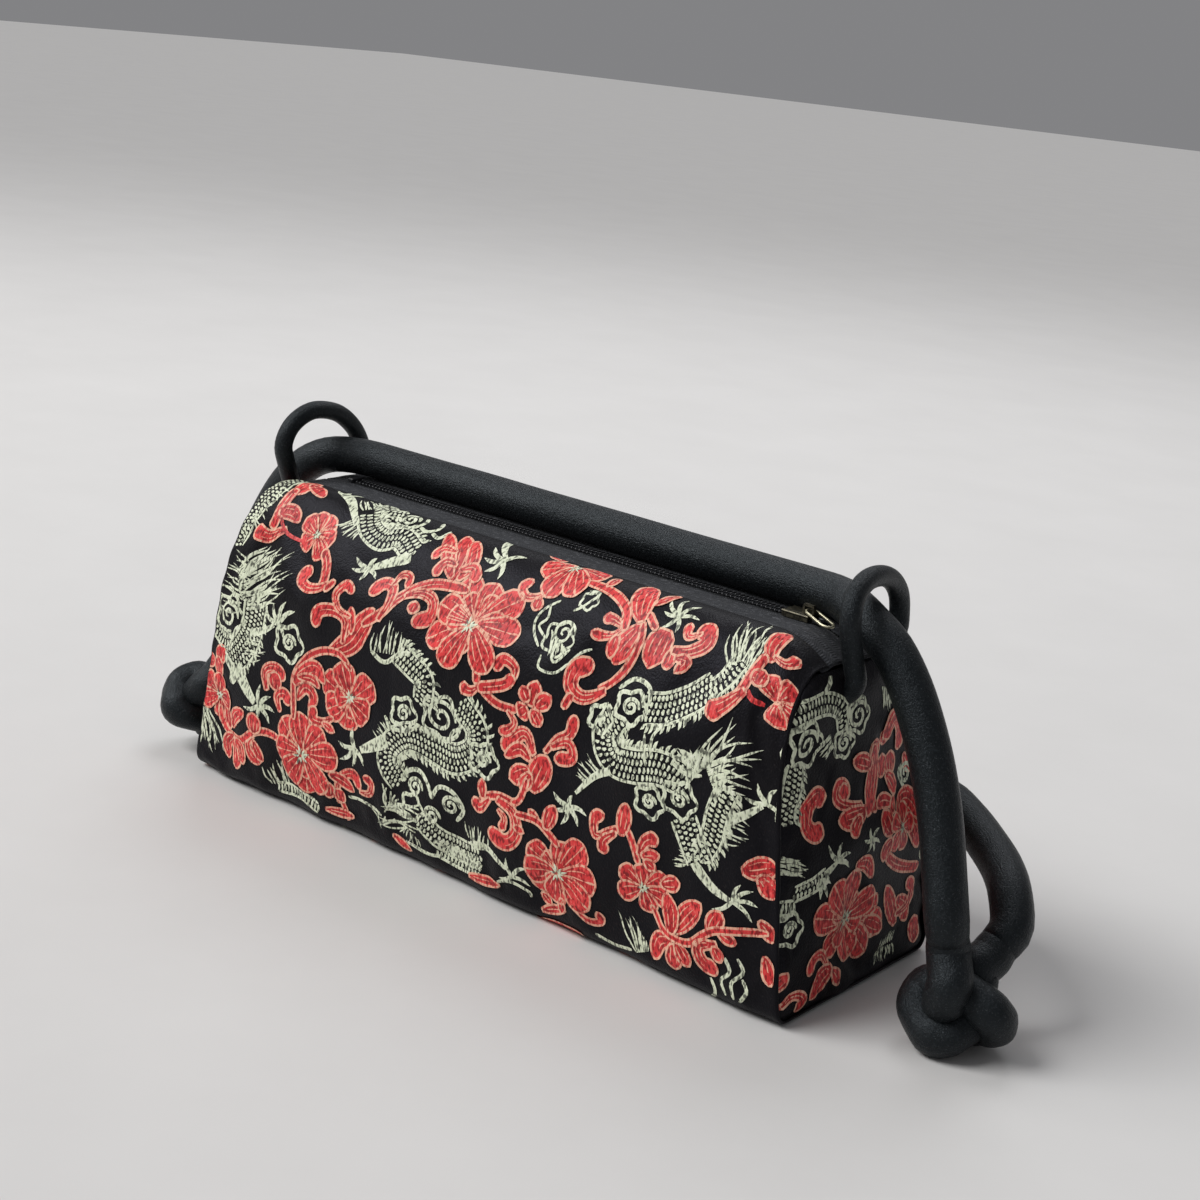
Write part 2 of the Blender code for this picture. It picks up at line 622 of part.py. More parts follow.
def build():
    clear_scene()
    materials = {
        "brocade": make_material("brocade", (0.030, 0.028, 0.034), 0.55),
        "padding": make_material("padding", (0.70, 0.69, 0.66), 0.95),
        "lining": make_material("lining", (0.035, 0.035, 0.040), 0.60),
        "tape": make_material("zip_tape", (0.055, 0.058, 0.066), 0.85),
        "teeth": make_material("zip_teeth", (0.020, 0.020, 0.022), 0.45),
        "slider": make_material("zip_slider", (0.42, 0.38, 0.26), 0.35, 1.0),
        "pull": make_material("zip_pull", (0.62, 0.58, 0.42), 0.30, 1.0),
        "rope": make_material("rope", (0.014, 0.017, 0.020), 0.60),
    }
    build_walls(materials)
    build_zip(materials)
    build_handle(materials)


build()
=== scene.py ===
"""The looks of a zipped brocade handbag with a knotted rope handle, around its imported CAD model.

Lengths are metres, except the places on the cloth of a woven figure, which are millimetres.
"""
import math

import bmesh
import bpy
import numpy as np
from mathutils import Matrix, Vector, noise


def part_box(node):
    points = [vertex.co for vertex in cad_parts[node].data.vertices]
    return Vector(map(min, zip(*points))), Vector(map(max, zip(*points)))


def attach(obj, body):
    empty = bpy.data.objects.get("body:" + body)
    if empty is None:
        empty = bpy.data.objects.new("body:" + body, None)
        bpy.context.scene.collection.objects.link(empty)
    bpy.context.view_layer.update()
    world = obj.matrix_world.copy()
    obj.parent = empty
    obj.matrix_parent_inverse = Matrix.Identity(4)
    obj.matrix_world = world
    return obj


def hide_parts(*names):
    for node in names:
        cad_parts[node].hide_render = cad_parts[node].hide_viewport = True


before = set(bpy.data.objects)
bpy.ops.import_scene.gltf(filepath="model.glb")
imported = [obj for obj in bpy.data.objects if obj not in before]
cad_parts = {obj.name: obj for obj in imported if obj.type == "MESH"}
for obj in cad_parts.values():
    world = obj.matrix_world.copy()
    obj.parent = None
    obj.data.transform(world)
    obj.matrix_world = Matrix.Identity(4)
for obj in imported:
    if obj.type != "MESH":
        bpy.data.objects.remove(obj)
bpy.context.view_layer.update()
MM = 0.001

# The camera of the photograph
CAMERA_PLACE = (0.3875, -0.48125, 0.26354)
CAMERA_TURN = math.radians(-37.7)
CAMERA_PITCH = math.radians(15.8)
CAMERA_ROLL = math.radians(6.0)
SENSOR_WIDTH = 36.0
FOCAL_SHARE = 1999 / 1200

# The stage's light. A lamp's values are its name, place, aim, size, watts and colour.
FLOOR_SIZE = 9.0
LAMPS = (
    ("window_lamp", (-1.5, -0.75, 1.15), (0.0, 0.0, 0.05), 0.8, 11.0, (1.0, 0.99, 0.97)),
    ("high_lamp", (-0.5, 0.9, 1.4), (0.0, 0.0, 0.08), 0.9, 9.0, (0.97, 0.98, 1.0)),
)
EVEN_LIGHT_FROM = (-0.85, -0.85, 1.25)
EVEN_LIGHT_ANGLE = math.radians(32)
EVEN_LIGHT_STRENGTH = 2.05
BACKDROP_COLOUR = (0.66, 0.66, 0.68, 1.0)
BACKDROP_STRENGTH = 0.34

# The bag's form
WRAP_LOW, WRAP_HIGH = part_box("brocade_wrap")
BASE_LENGTH = WRAP_HIGH.x - WRAP_LOW.x
BODY_HEIGHT = WRAP_HIGH.z - WRAP_LOW.z
FACE_BULGE = 0.0015
HALF_DEPTH = WRAP_HIGH.y - FACE_BULGE
TOP_LENGTH = 0.221
CREST_HALF_DEPTH = 0.0205
SHOULDER_HEIGHT = 0.062
CORNER_RADIUS = 0.006
FLAT_HALF = HALF_DEPTH - CORNER_RADIUS
END_BULGE = 0.003
END_DROPS = {-1: 0.0020, 1: 0.0065}
END_DROP_LENGTH = 0.0155

# Cloth
CLOTH_THICKNESS = 0.0005
EDGE_ROLL = 0.0008
ROLL_TURN = math.radians(100)
BASE_LIFT = 0.0006
SOFT_SWELL = 0.0008
SOFT_SWELL_LENGTH = 0.042
SMALL_SWELL = 0.00045
SMALL_SWELL_LENGTH = 0.016
PUCKER_DEPTH = 0.00020
PUCKER_PITCH = 0.0125
PUCKER_REACH = 0.0055
PHASE_LENGTH = 0.05
MEAN_SWELL = 0.0004
HOLLOW_LIMIT = 0.0005
CALM_END = 0.012
CALM_FOLD = 0.010
END_SWELL = 0.0022
END_SWELL_LENGTH = 0.035
END_SMALL_SWELL = 0.0009
END_SMALL_SWELL_LENGTH = 0.014
END_MEAN_SWELL = 0.0006
END_HOLLOW_LIMIT = 0.0002
END_PUCKER_DEPTH = 0.0005
END_PUCKER_REACH = 0.005
SEAM_REACH = 0.0012
SEAM_SINK = 0.0008
ROLLED_SHARE = 1.03
ROLLED_ACROSS = 1.02
SKIN_STATIONS = 121
SKIN_ROWS = 151
SKIN_STEP = (0.002, 0.0003)
PANEL_STEP = (0.0003, 0.0003)
PANEL_STATIONS = 43
PANEL_ROWS = 53
CLOTH_FRAMES = 20
CLOTH_PRESSURE = 3.0
CLOTH_SLACK = 0.012
SWELL_LIMIT = 0.0030
SINK_LIMIT = 0.0002
SLIDE_LIMIT = 0.0015

# Zip
ZIP_SLIT = 0.0013
TAPE_SHOWING = 0.01685
TAPE_TUCK = 0.003
SLIDER_REACH = 0.005
TEETH_LOW, TEETH_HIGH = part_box("zip_teeth_front")
TAPE_TOP = TEETH_LOW.z - 0.0003
TOOTH_PITCH = 0.0016
FOLD_EDGE = ZIP_SLIT / 2 + TAPE_SHOWING
COIL_THREAD = 0.00055
COIL_MIDDLE = 0.00105
COIL_HALF_WIDTH = 0.00075
COIL_RISE = 0.00048
COIL_HALF_HEIGHT = 0.00020
COIL_STEPS = 12
TAPE_LIFT = 0.0003
TAPE_SWELL = 0.0009
PULL_ROUNDING = 0.00028

# Rope handle, knots and loops
ROPE_DIAMETER = 0.0127
LOOP_DIAMETER = 0.0062
ROPE_SPACING = 0.0030
KNOT_CORD_DIAMETER = 0.0112
KNOT_SOFT_DIAMETER = 0.0127
KNOT_LOWEST = 0.0003
KNOT_OVERLAP = 0.0045
KNOT_POINT_SPACING = 0.0011
LOOP_SPACING = 0.0016
LOOP_SEWN_START = (-0.0034, 0.0004, -0.0048)
LOOP_SEWN_END = (-0.0024, -0.0008, -0.0056)
KNOT_SPREAD = 0.0037
KNOT_DEPTH = 0.0056
KNOT_OPENING = 0.45
KNOT_FLOOR_GAP = 0.0006
KNOT_EXIT_GAP = 0.0010
KNOT_FACING = math.radians(37.7)
KNOT_TOP_EXIT = (-0.0055, 0.0175, 0.0)
KNOT_TOP_DIRECTION = (-0.20, 0.98, 0.0)
KNOT_SIDE_EXIT = (0.0098, 0.0120, -0.0105)
KNOT_SIDE_DIRECTION = (0.55, 0.62, -0.56)
KNOT_STUB = 0.0025
HANDLE_LEAD = 0.008
KNOT_RIGHT = ((0.164, -0.010), 0.0)
KNOT_LEFT = ((-0.140, -0.0235), math.radians(-40))

# Routes of the cords, as the solids have them.
# A loop's points are out from the bag's top end, across it and up from its crest.
LOOP_RIGHT_ROUTE = [
    (0.0064, -0.0098, -0.0120), (0.0056, -0.0112, -0.0055),
    (0.0050, -0.0132, 0.0010), (0.0046, -0.0143, 0.0070), (0.0034, -0.0117, 0.0130),
    (0.0022, -0.0050, 0.0164), (0.0014, 0.0035, 0.0166), (0.0006, 0.0120, 0.0141),
    (0.0002, 0.0182, 0.0091), (0.0002, 0.0204, 0.0032), (0.0004, 0.0202, -0.0028),
]
LOOP_LEFT_ROUTE = [
    (0.0064, -0.0100, -0.0120), (0.0054, -0.0122, -0.0045),
    (0.0042, -0.0160, 0.0030), (0.0038, -0.0182, 0.0100), (0.0032, -0.0150, 0.0170),
    (0.0022, -0.0072, 0.0213), (0.0012, 0.0027, 0.0202), (0.0006, 0.0102, 0.0154),
    (0.0004, 0.0148, 0.0094), (0.0004, 0.0172, 0.0032), (0.0004, 0.0182, -0.0028),
]
HANDLE_TOP_ROUTE = [
    (-0.1365, -0.0135, 0.0570), (-0.1368, -0.0080, 0.0750),
    (-0.1320, -0.0025, 0.0930), (-0.1235, -0.0005, 0.1045), (-0.1135, 0.0025, 0.1110),
    (-0.1020, 0.0075, 0.1123), (-0.0800, 0.0096, 0.1120), (-0.0500, 0.0098, 0.1120),
    (-0.0200, 0.0096, 0.1120), (0.0100, 0.0094, 0.1120), (0.0400, 0.0093, 0.1120),
    (0.0700, 0.0093, 0.1120), (0.0880, 0.0091, 0.1121), (0.0975, 0.0079, 0.1122),
    (0.1050, 0.0040, 0.1117), (0.1128, 0.0008, 0.1096), (0.1218, -0.0010, 0.1048),
    (0.1298, -0.0025, 0.0968), (0.1368, -0.0042, 0.0870), (0.1434, -0.0062, 0.0755),
    (0.1500, -0.0090, 0.0610),
]
HANDLE_BACK_ROUTE = [
    (-0.1345, 0.0170, 0.0128), (-0.1345, 0.0330, 0.0072),
    (-0.1295, 0.0475, 0.0066), (-0.1130, 0.0535, 0.0066), (-0.0750, 0.0545, 0.0066),
    (-0.0450, 0.0540, 0.0066), (-0.0150, 0.0532, 0.0066), (0.0130, 0.0528, 0.0070),
    (0.0370, 0.0526, 0.0095), (0.0560, 0.0522, 0.0170), (0.0720, 0.0518, 0.0290),
    (0.0870, 0.0516, 0.0385), (0.1030, 0.0518, 0.0450), (0.1190, 0.0510, 0.0462),
    (0.1312, 0.0450, 0.0445), (0.1422, 0.0370, 0.0425), (0.1526, 0.0280, 0.0405),
    (0.1605, 0.0190, 0.0378),
]


# Shader expressions

class Value:
    """A node's output that takes part in Python expressions."""

    def __init__(self, finish, socket):
        self.finish = finish
        self.socket = socket

    def math(self, operation, *others):
        return self.finish.node("Math", {"operation": operation}, [self, *others])

    def __add__(self, other):
        return self.math("ADD", other)

    def __radd__(self, other):
        return self.math("ADD", other)

    def __mul__(self, other):
        return self.math("MULTIPLY", other)

    def __rmul__(self, other):
        return self.math("MULTIPLY", other)

    def __sub__(self, other):
        return self.math("SUBTRACT", other)

    def __rsub__(self, other):
        return self.finish.node("Math", {"operation": "SUBTRACT"}, [other, self])

    def wave(self, pitch):
        """A ripple from 0 to 1 that repeats at a pitch."""
        return (self * (2 * math.pi / pitch)).math("SINE") * 0.5 + 0.5


class Finish:
    """One procedural material, built up node by node."""

    def __init__(self, name, colour, roughness, **constants):
        self.material = bpy.data.materials.new(name)
        self.material.use_nodes = True
        self.tree = self.material.node_tree
        self.shader = self.tree.nodes["Principled BSDF"]
        self.shader.inputs["Base Color"].default_value = (*colour, 1.0)
        self.shader.inputs["Roughness"].default_value = roughness
        for socket, value in constants.items():
            self.shader.inputs[socket.replace("_", " ")].default_value = value

    def node(self, kind, settings, inputs, output=0):
        made = self.tree.nodes.new("ShaderNode" + kind)
        for setting, value in settings.items():
            setattr(made, setting, value)
        pairs = inputs.items() if isinstance(inputs, dict) else enumerate(inputs)
        for key, value in pairs:
            if isinstance(value, Value):
                self.tree.links.new(value.socket, made.inputs[key])
            else:
                made.inputs[key].default_value = value
        return Value(self, made.outputs[output])

    def place(self, name="Object"):
        return self.node("TexCoord", {}, {}, name)

    def attribute(self, name):
        return self.node("Attribute", {"attribute_name": name}, {}, "Fac")

    def stretched(self, vector, scale):
        return self.node("VectorMath", {"operation": "MULTIPLY"}, [vector, scale])

    def axis(self, vector, name):
        return self.node("SeparateXYZ", {}, [vector], name)

    def clouds(self, vector, scale, detail=2.0, roughness=0.5):
        return self.node("TexNoise", {}, {"Vector": vector, "Scale": scale, "Detail": detail,
                                          "Roughness": roughness}, "Fac")

    def cells(self, vector, scale):
        return self.node("TexVoronoi", {}, {"Vector": vector, "Scale": scale}, "Distance")

    def between(self, value, low, high):
        """0 below low, 1 above high and smooth between."""
        return self.node("MapRange", {"interpolation_type": "SMOOTHSTEP"},
                         {"Value": value, "From Min": low, "From Max": high})

    def colours(self, mask, first, second):
        first = first if isinstance(first, Value) else (*first, 1.0)
        second = second if isinstance(second, Value) else (*second, 1.0)
        return self.node("Mix", {"data_type": "RGBA"}, {0: mask, 6: first, 7: second}, 2)

    def set(self, socket, value):
        self.tree.links.new(value.socket, self.shader.inputs[socket])

    def bump(self, height, distance, strength=1.0):
        normal = self.node("Bump", {}, {"Height": height, "Distance": distance, "Strength": strength})
        self.set("Normal", normal)


def brocade_finish():
    """Black satin ground with a fine dotted weave, a faint violet-blue sheen from the shader, and painted
    violet-blue sheen in random patches of its colour.
    """
    finish = Finish("black_brocade", (0.004, 0.004, 0.006), 0.40, Specular_IOR_Level=0.10,
                    Specular_Tint=(0.80, 0.82, 1.0, 1.0), Sheen_Weight=0.02, Sheen_Roughness=0.4)
    cloth = finish.place("UV")
    dots = finish.cells(finish.stretched(cloth, (1.0, 0.8, 1.0)), 1900.0)
    patches = finish.clouds(finish.place(), 38.0, 3.0)
    grain = finish.clouds(cloth, 900.0, 3.0, 0.7)
    # The near-black ground turns violet-blue in random patches: painted sheen.
    dark = finish.colours(patches, (0.0045, 0.0038, 0.0034), (0.0085, 0.0078, 0.0100))
    finish.set("Base Color", finish.colours(finish.between(grain, 0.55, 0.80), dark, (0.024, 0.021, 0.021)))
    finish.set("Roughness", grain * 0.30 + 0.30)
    finish.bump(grain * 0.6 - dots, 0.00016, 0.6)
    return finish.material


def thread_finish(name, deep, light, gap, glint):
    """Raised woven thread, in short upright stitches, with painted shade in the gaps between them and painted
    highlights on their crowns.
    """
    finish = Finish(name, light, 0.50, Specular_IOR_Level=0.35)
    cloth = finish.place("UV")
    stitches = finish.clouds(finish.stretched(cloth, (1.0, 0.45, 1.0)), 1000.0, 1.5, 0.6)
    patches = finish.clouds(cloth, 160.0, 2.0)
    shade = finish.attribute("shade")
    tone = finish.colours(finish.between(shade + patches * 0.8, 0.35, 1.25), deep, light)
    # The stitches' crowns take the glint colour: a painted highlight.
    painted_crown_highlight = finish.colours(finish.between(stitches, 0.56, 0.72) * 0.8, tone, glint)
    # The gaps between stitches take the gap colour: painted shade.
    finish.set("Base Color", finish.colours(finish.between(stitches, 0.50, 0.38) * 0.9, painted_crown_highlight, gap))
    finish.bump(stitches, 0.00040, 0.9)
    return finish.material


def tape_finish():
    """Charcoal woven tape, slightly felted."""
    finish = Finish("charcoal_tape", (0.020, 0.021, 0.025), 0.85, Specular_IOR_Level=0.2,
                    Sheen_Weight=0.05, Sheen_Roughness=0.5)
    place = finish.place()
    along = finish.axis(place, "X")
    across = finish.axis(place, "Y")
    ribs = (along + across * finish.between(across.wave(0.0048), 0.45, 0.55)).wave(0.00075)
    felt = finish.clouds(place, 700.0, 4.0, 0.7)
    patches = finish.clouds(place, 160.0, 3.0, 0.6)
    ground = finish.colours(patches, (0.015, 0.016, 0.019), (0.033, 0.035, 0.041))
    finish.set("Base Color", finish.colours(finish.between(felt, 0.50, 0.72), ground, (0.092, 0.095, 0.104)))
    finish.bump(ribs * 0.5 + felt, 0.00026, 0.9)
    return finish.material


def rope_finish():
    """Black satin cord, smooth, with a faint mottled weave along it."""
    finish = Finish("black_satin_cord", (0.006, 0.008, 0.009), 0.42, Specular_IOR_Level=0.27,
                    Specular_Tint=(0.82, 0.92, 1.0, 1.0), Sheen_Weight=0.02, Sheen_Roughness=0.35)
    place = finish.place()
    round_about = finish.place("UV")
    weave = finish.clouds(place, 1100.0, 3.0, 0.7)
    patches = finish.clouds(place, 90.0, 3.0, 0.6)
    streaks = finish.clouds(finish.stretched(round_about, (60.0, 14.0, 1.0)), 6.0, 3.0, 0.6)
    ground = finish.colours(patches, (0.0020, 0.0026, 0.0030), (0.0055, 0.0070, 0.0080))
    specks = finish.clouds(place, 2100.0, 2.0, 0.7)
    worn = finish.colours(finish.between(weave, 0.52, 0.78), ground, (0.020, 0.024, 0.027))
    finish.set("Base Color", finish.colours(finish.between(specks, 0.60, 0.74), worn, (0.060, 0.067, 0.071)))
    finish.set("Roughness", weave * 0.30 + 0.23)
    finish.bump(weave * 0.6 + streaks * 0.5 + specks * 0.8, 0.00036, 0.9)
    return finish.material


def metal_finish(name, bright, dull, roughness):
    """Cast brass, brighter where hands have worn it."""
    finish = Finish(name, bright, roughness, Metallic=1.0)
    place = finish.place()
    spots = finish.clouds(place, 900.0, 4.0, 0.65)
    finish.set("Base Color", finish.colours(finish.between(spots, 0.35, 0.65), dull, bright))
    finish.set("Roughness", spots * 0.3 + (roughness - 0.1))
    finish.bump(spots, 0.00008, 0.5)
    return finish.material


def plain_cloth_finish(name, dark, light, pitch):
    """Plain woven cloth or wadding."""
    finish = Finish(name, light, 0.9)
    place = finish.place()
    fibres = finish.clouds(place, 1.0 / pitch, 4.0, 0.7)
    finish.set("Base Color", finish.colours(fibres, dark, light))
    finish.bump(fibres, 0.0003, 0.6)
    return finish.material


def coil_finish():
    """Black nylon coil."""
    finish = Finish("black_nylon_coil", (0.012, 0.012, 0.013), 0.35)
    marks = finish.clouds(finish.place(), 1500.0, 3.0)
    finish.set("Base Color", finish.colours(marks, (0.006, 0.006, 0.007), (0.030, 0.030, 0.034)))
    finish.bump(marks, 0.00005, 0.5)
    return finish.material


def floor_finish():
    """Plain pale floor."""
    finish = Finish("pale_floor", (0.62, 0.61, 0.60), 0.75)
    speckle = finish.clouds(finish.place(), 12.0, 4.0, 0.6)
    finish.set("Base Color", finish.colours(speckle, (0.60, 0.59, 0.58), (0.66, 0.65, 0.64)))
    return finish.material


# Shared mesh helpers

def finished(piece, body, replaced=()):
    """Shades a new piece smooth, puts it on its body and hides the solids it stands for."""
    piece.data.shade_smooth()
    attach(piece, body)
    if replaced:
        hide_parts(*replaced)
    return piece


def linked(name, mesh, material):
    piece = bpy.data.objects.new(name, mesh)
    bpy.context.scene.collection.objects.link(piece)
    mesh.materials.append(material)
    return piece


GRIDS = {}


def flat_grid(rows, columns):
    """A flat grid from -1 to 1 both ways: its vertices' places and its faces' corners."""
    if (rows, columns) not in GRIDS:
        bm = bmesh.new()
        bmesh.ops.create_grid(bm, x_segments=rows, y_segments=columns, size=1.0)
        bm.verts.index_update()
        places = np.array([vertex.co[:2] for vertex in bm.verts])
        faces = np.array([[vertex.index for vertex in face.verts] for face in bm.faces])
        bm.free()
        GRIDS[(rows, columns)] = (places, faces)
    return GRIDS[(rows, columns)]


def mapped_mesh(name, points, faces, uvs, attributes=None):
    """A mesh of a grid's faces with its vertices at points, and each vertex's place on the cloth as UV."""
    mesh = bpy.data.meshes.new(name)
    mesh.from_pydata(np.asarray(points).tolist(), [], np.asarray(faces).tolist())
    layer = mesh.uv_layers.new(name="cloth")
    corners = np.zeros(len(mesh.loops), np.int32)
    mesh.loops.foreach_get("vertex_index", corners)
    layer.data.foreach_set("uv", np.asarray(uvs)[corners].astype(np.float32).ravel())
    for key, values in (attributes or {}).items():
        mesh.attributes.new(key, "FLOAT", "POINT").data.foreach_set("value", values.astype(np.float32))
    return mesh


def smooth_line(stops, count=None, spacing=None):
    """Even points on the smooth curve through stops, of any dimension."""
    stops = np.asarray(stops, float)
    stops = np.vstack([2 * stops[0] - stops[1], stops, 2 * stops[-1] - stops[-2]])
    t = np.linspace(0, 1, 24, endpoint=False)[:, None]
    fine = []
    for before, start, end, after in zip(stops, stops[1:], stops[2:], stops[3:]):
        fine.append(0.5 * (2 * start + (end - before) * t
                           + (2 * before - 5 * start + 4 * end - after) * t ** 2
                           + (3 * start - before - 3 * end + after) * t ** 3))
    fine = np.vstack(fine + [stops[-2:-1]])
    travelled = np.concatenate([[0], np.cumsum(np.linalg.norm(np.diff(fine, axis=0), axis=1))])
    count = count or max(3, round(travelled[-1] / spacing) + 1)
    even = np.linspace(0, travelled[-1], count)
    return np.stack([np.interp(even, travelled, column) for column in fine.T], axis=1)


# The bag's form

def half_length(height):
    return BASE_LENGTH / 2 - (BASE_LENGTH - TOP_LENGTH) / 2 * height / BODY_HEIGHT


def crest_drop(share):
    """How far the top has rounded down at this share of the half length."""
    from_end = (1 - np.abs(share)) * TOP_LENGTH / 2
    most = np.where(share < 0, END_DROPS[-1], END_DROPS[1])
    return most * np.clip(1 - from_end / END_DROP_LENGTH, 0, None) ** 2


def section_table():
    """Distance across the cloth from the middle of the base, with the depth and height that it reaches."""
    corner = np.linspace(0, math.pi / 2, 13)
    shoulder = np.linspace(0, math.pi / 2, 61)
    depth = np.concatenate([[0], FLAT_HALF + CORNER_RADIUS * np.sin(corner),
                            CREST_HALF_DEPTH + (HALF_DEPTH - CREST_HALF_DEPTH) * np.cos(shoulder),
                            [FOLD_EDGE]])
    height = np.concatenate([[0], CORNER_RADIUS * (1 - np.cos(corner)),
                             SHOULDER_HEIGHT + (BODY_HEIGHT - SHOULDER_HEIGHT) * np.sin(shoulder),
                             [BODY_HEIGHT]])
    travelled = np.concatenate([[0], np.cumsum(np.hypot(np.diff(depth), np.diff(height)))])
    return travelled, depth, height


SECTION = section_table()
HALF_WRAP = SECTION[0][-1]


def wrap_form(share, across):
    """The wrap without its softness, at a share of its half length and a signed distance across it."""
    away = np.abs(across)
    depth = np.interp(away, SECTION[0], SECTION[1])
    height = np.interp(away, SECTION[0], SECTION[2])
    crest = BODY_HEIGHT - crest_drop(share)
    squeeze = (crest - SHOULDER_HEIGHT) / (BODY_HEIGHT - SHOULDER_HEIGHT)
    squeezed = SHOULDER_HEIGHT + (height - SHOULDER_HEIGHT) * squeeze
    height = np.where(height > SHOULDER_HEIGHT, squeezed, height)
    bulge = FACE_BULGE * (1 - share ** 2) * np.sin(math.pi * np.clip(height / BODY_HEIGHT, 0, 1))
    side = np.sign(across)
    return np.stack([share * half_length(height), side * (depth + bulge), height], axis=-1)


def soft_noise(places, length, seed):
    """Smooth noise, about -0.5 to 0.5, for each row of places."""
    return np.array([noise.noise(Vector((*(place / length), seed))) for place in places])


def wrap_relief(share, across):
    """How far the soft cloth stands off its form."""
    flat = np.stack([share * BASE_LENGTH / 2, across], axis=-1).reshape(-1, 2)
    swell = SOFT_SWELL * 2 * soft_noise(flat, SOFT_SWELL_LENGTH, 3.1)
    swell += SMALL_SWELL * 2 * soft_noise(flat, SMALL_SWELL_LENGTH, 7.7)
    swell = swell.reshape(share.shape)
    from_end = (1 - np.abs(share)) * BASE_LENGTH / 2
    from_fold = HALF_WRAP - np.abs(across)
    over_base = np.clip((FLAT_HALF + CORNER_RADIUS - np.abs(across)) / CORNER_RADIUS, 0, 1)
    calm = np.clip(from_end / CALM_END, 0, 1) * np.clip(from_fold / CALM_FOLD, 0, 1) * (1 - over_base)
    phase = 3.0 * soft_noise(flat, PHASE_LENGTH, 1.3).reshape(share.shape)
    ripple = np.sin(2 * math.pi * across / PUCKER_PITCH + phase)
    pucker = PUCKER_DEPTH * np.exp(-from_end / PUCKER_REACH) * ripple
    soft = np.clip(MEAN_SWELL + swell, -HOLLOW_LIMIT, None)
    return soft * calm + pucker * (1 - over_base) - BASE_LIFT * over_base


def normals_of(points):
    """Outward normals of a grid of points over share and distance across."""
    along = np.gradient(points, axis=0)
    across = np.gradient(points, axis=1)
    normal = np.cross(across, along)
    return normal / np.linalg.norm(normal, axis=-1, keepdims=True)


def swollen(points, held):
    """A grid of cloth points after a short simulation: a slightly loose cloth over wadding that presses out.

    held is 1 where a point stays in its seam and 0 where it is free.
    """
    rows, columns = held.shape
    grid, faces = flat_grid(rows - 1, columns - 1)
    first = np.round((grid[:, 0] + 1) / 2 * (rows - 1)).astype(int)
    second = np.round((grid[:, 1] + 1) / 2 * (columns - 1)).astype(int)
    outward = normals_of(points)
    start = points[first, second]
    mesh = bpy.data.meshes.new("loose_cloth")
    mesh.from_pydata(start.tolist(), [], faces.tolist())
    facing = sum(np.dot(face.normal, outward[first[face.vertices[0]], second[face.vertices[0]]])
                 for face in mesh.polygons)
    if facing < 0:
        mesh.flip_normals()
    cloth = bpy.data.objects.new("loose_cloth", mesh)
    bpy.context.scene.collection.objects.link(cloth)
    seams = cloth.vertex_groups.new(name="seams")
    for index, weight in enumerate(held[first, second]):
        seams.add([index], float(weight), "REPLACE")
    settings = cloth.modifiers.new("loose", "CLOTH").settings
    settings.quality = 6
    settings.mass = 0.2
    settings.tension_stiffness = 25
    settings.compression_stiffness = 25
    settings.bending_stiffness = 1.5
    settings.vertex_group_mass = "seams"
    settings.use_pressure = True
    settings.uniform_pressure_force = CLOTH_PRESSURE
    settings.shrink_min = -CLOTH_SLACK
    settings.effector_weights.gravity = 0
    scene = bpy.context.scene
    for number in range(1, CLOTH_FRAMES + 1):
        scene.frame_set(number)
    shaped = cloth.evaluated_get(bpy.context.evaluated_depsgraph_get()).data
    ended = np.zeros(len(start) * 3)
    shaped.vertices.foreach_get("co", ended)
    moved = np.array(points)
    moved[first, second] = ended.reshape(-1, 3)
    bpy.data.objects.remove(cloth)
    scene.frame_set(1)
    shift = moved - points
    out = (shift * outward).sum(axis=-1)
    kept_out = np.clip(SWELL_LIMIT * np.tanh(out / SWELL_LIMIT), -SINK_LIMIT, SWELL_LIMIT)
    slide = shift - outward * out[..., None]
    reach = np.maximum(np.linalg.norm(slide, axis=-1, keepdims=True), 1e-9)
    slide *= np.minimum(reach, SLIDE_LIMIT) / reach
    return points + slide + outward * kept_out[..., None]


class Skin:
    """The wrap's outer surface, kept as an even grid of points and read smoothly between them."""

    def __init__(self):
        self.shares = np.linspace(-1, 1, SKIN_STATIONS)
        self.across = np.linspace(-HALF_WRAP, HALF_WRAP, SKIN_ROWS)
        share, across = np.meshgrid(self.shares, self.across, indexing="ij")
        points = wrap_form(share, across)
        points = points + normals_of(points) * wrap_relief(share, across)[..., None]
        held = np.zeros(share.shape)
        held[[0, 1, -2, -1]] = 1
        held[:, [0, 1, 2, -3, -2, -1]] = 1
        held[np.abs(across) < FLAT_HALF + CORNER_RADIUS * 0.8] = 1
        self.points = swollen(points, held)

    def at(self, share, across):
        """Points of the surface for arrays of shares and distances across."""
        first = (np.clip(share, -1, 1) + 1) / 2 * (SKIN_STATIONS - 1)
        second = (np.clip(across, -HALF_WRAP, HALF_WRAP) + HALF_WRAP) / (2 * HALF_WRAP) * (SKIN_ROWS - 1)
        return read_grid(self.points, first, second)


def read_grid(points, first, second):
    """A grid of points read smoothly at fractional positions."""
    total = 0
    for row, row_weight in cubic_weights(first, points.shape[0]):
        for column, column_weight in cubic_weights(second, points.shape[1]):
            total = total + points[row, column] * (row_weight * column_weight)[..., None]
    return total


def cubic_weights(position, count):
    """The four neighbours of a grid position and their Catmull-Rom weights."""
    start = np.clip(np.floor(position).astype(int), 0, count - 2)
    t = position - start
    weights = (0.5 * (-t + 2 * t ** 2 - t ** 3), 0.5 * (2 - 5 * t ** 2 + 3 * t ** 3),
               0.5 * (t + 4 * t ** 2 - 3 * t ** 3), 0.5 * (t ** 3 - t ** 2))
    return [(np.clip(start + offset, 0, count - 1), weight)
            for offset, weight in zip((-1, 0, 1, 2), weights)]


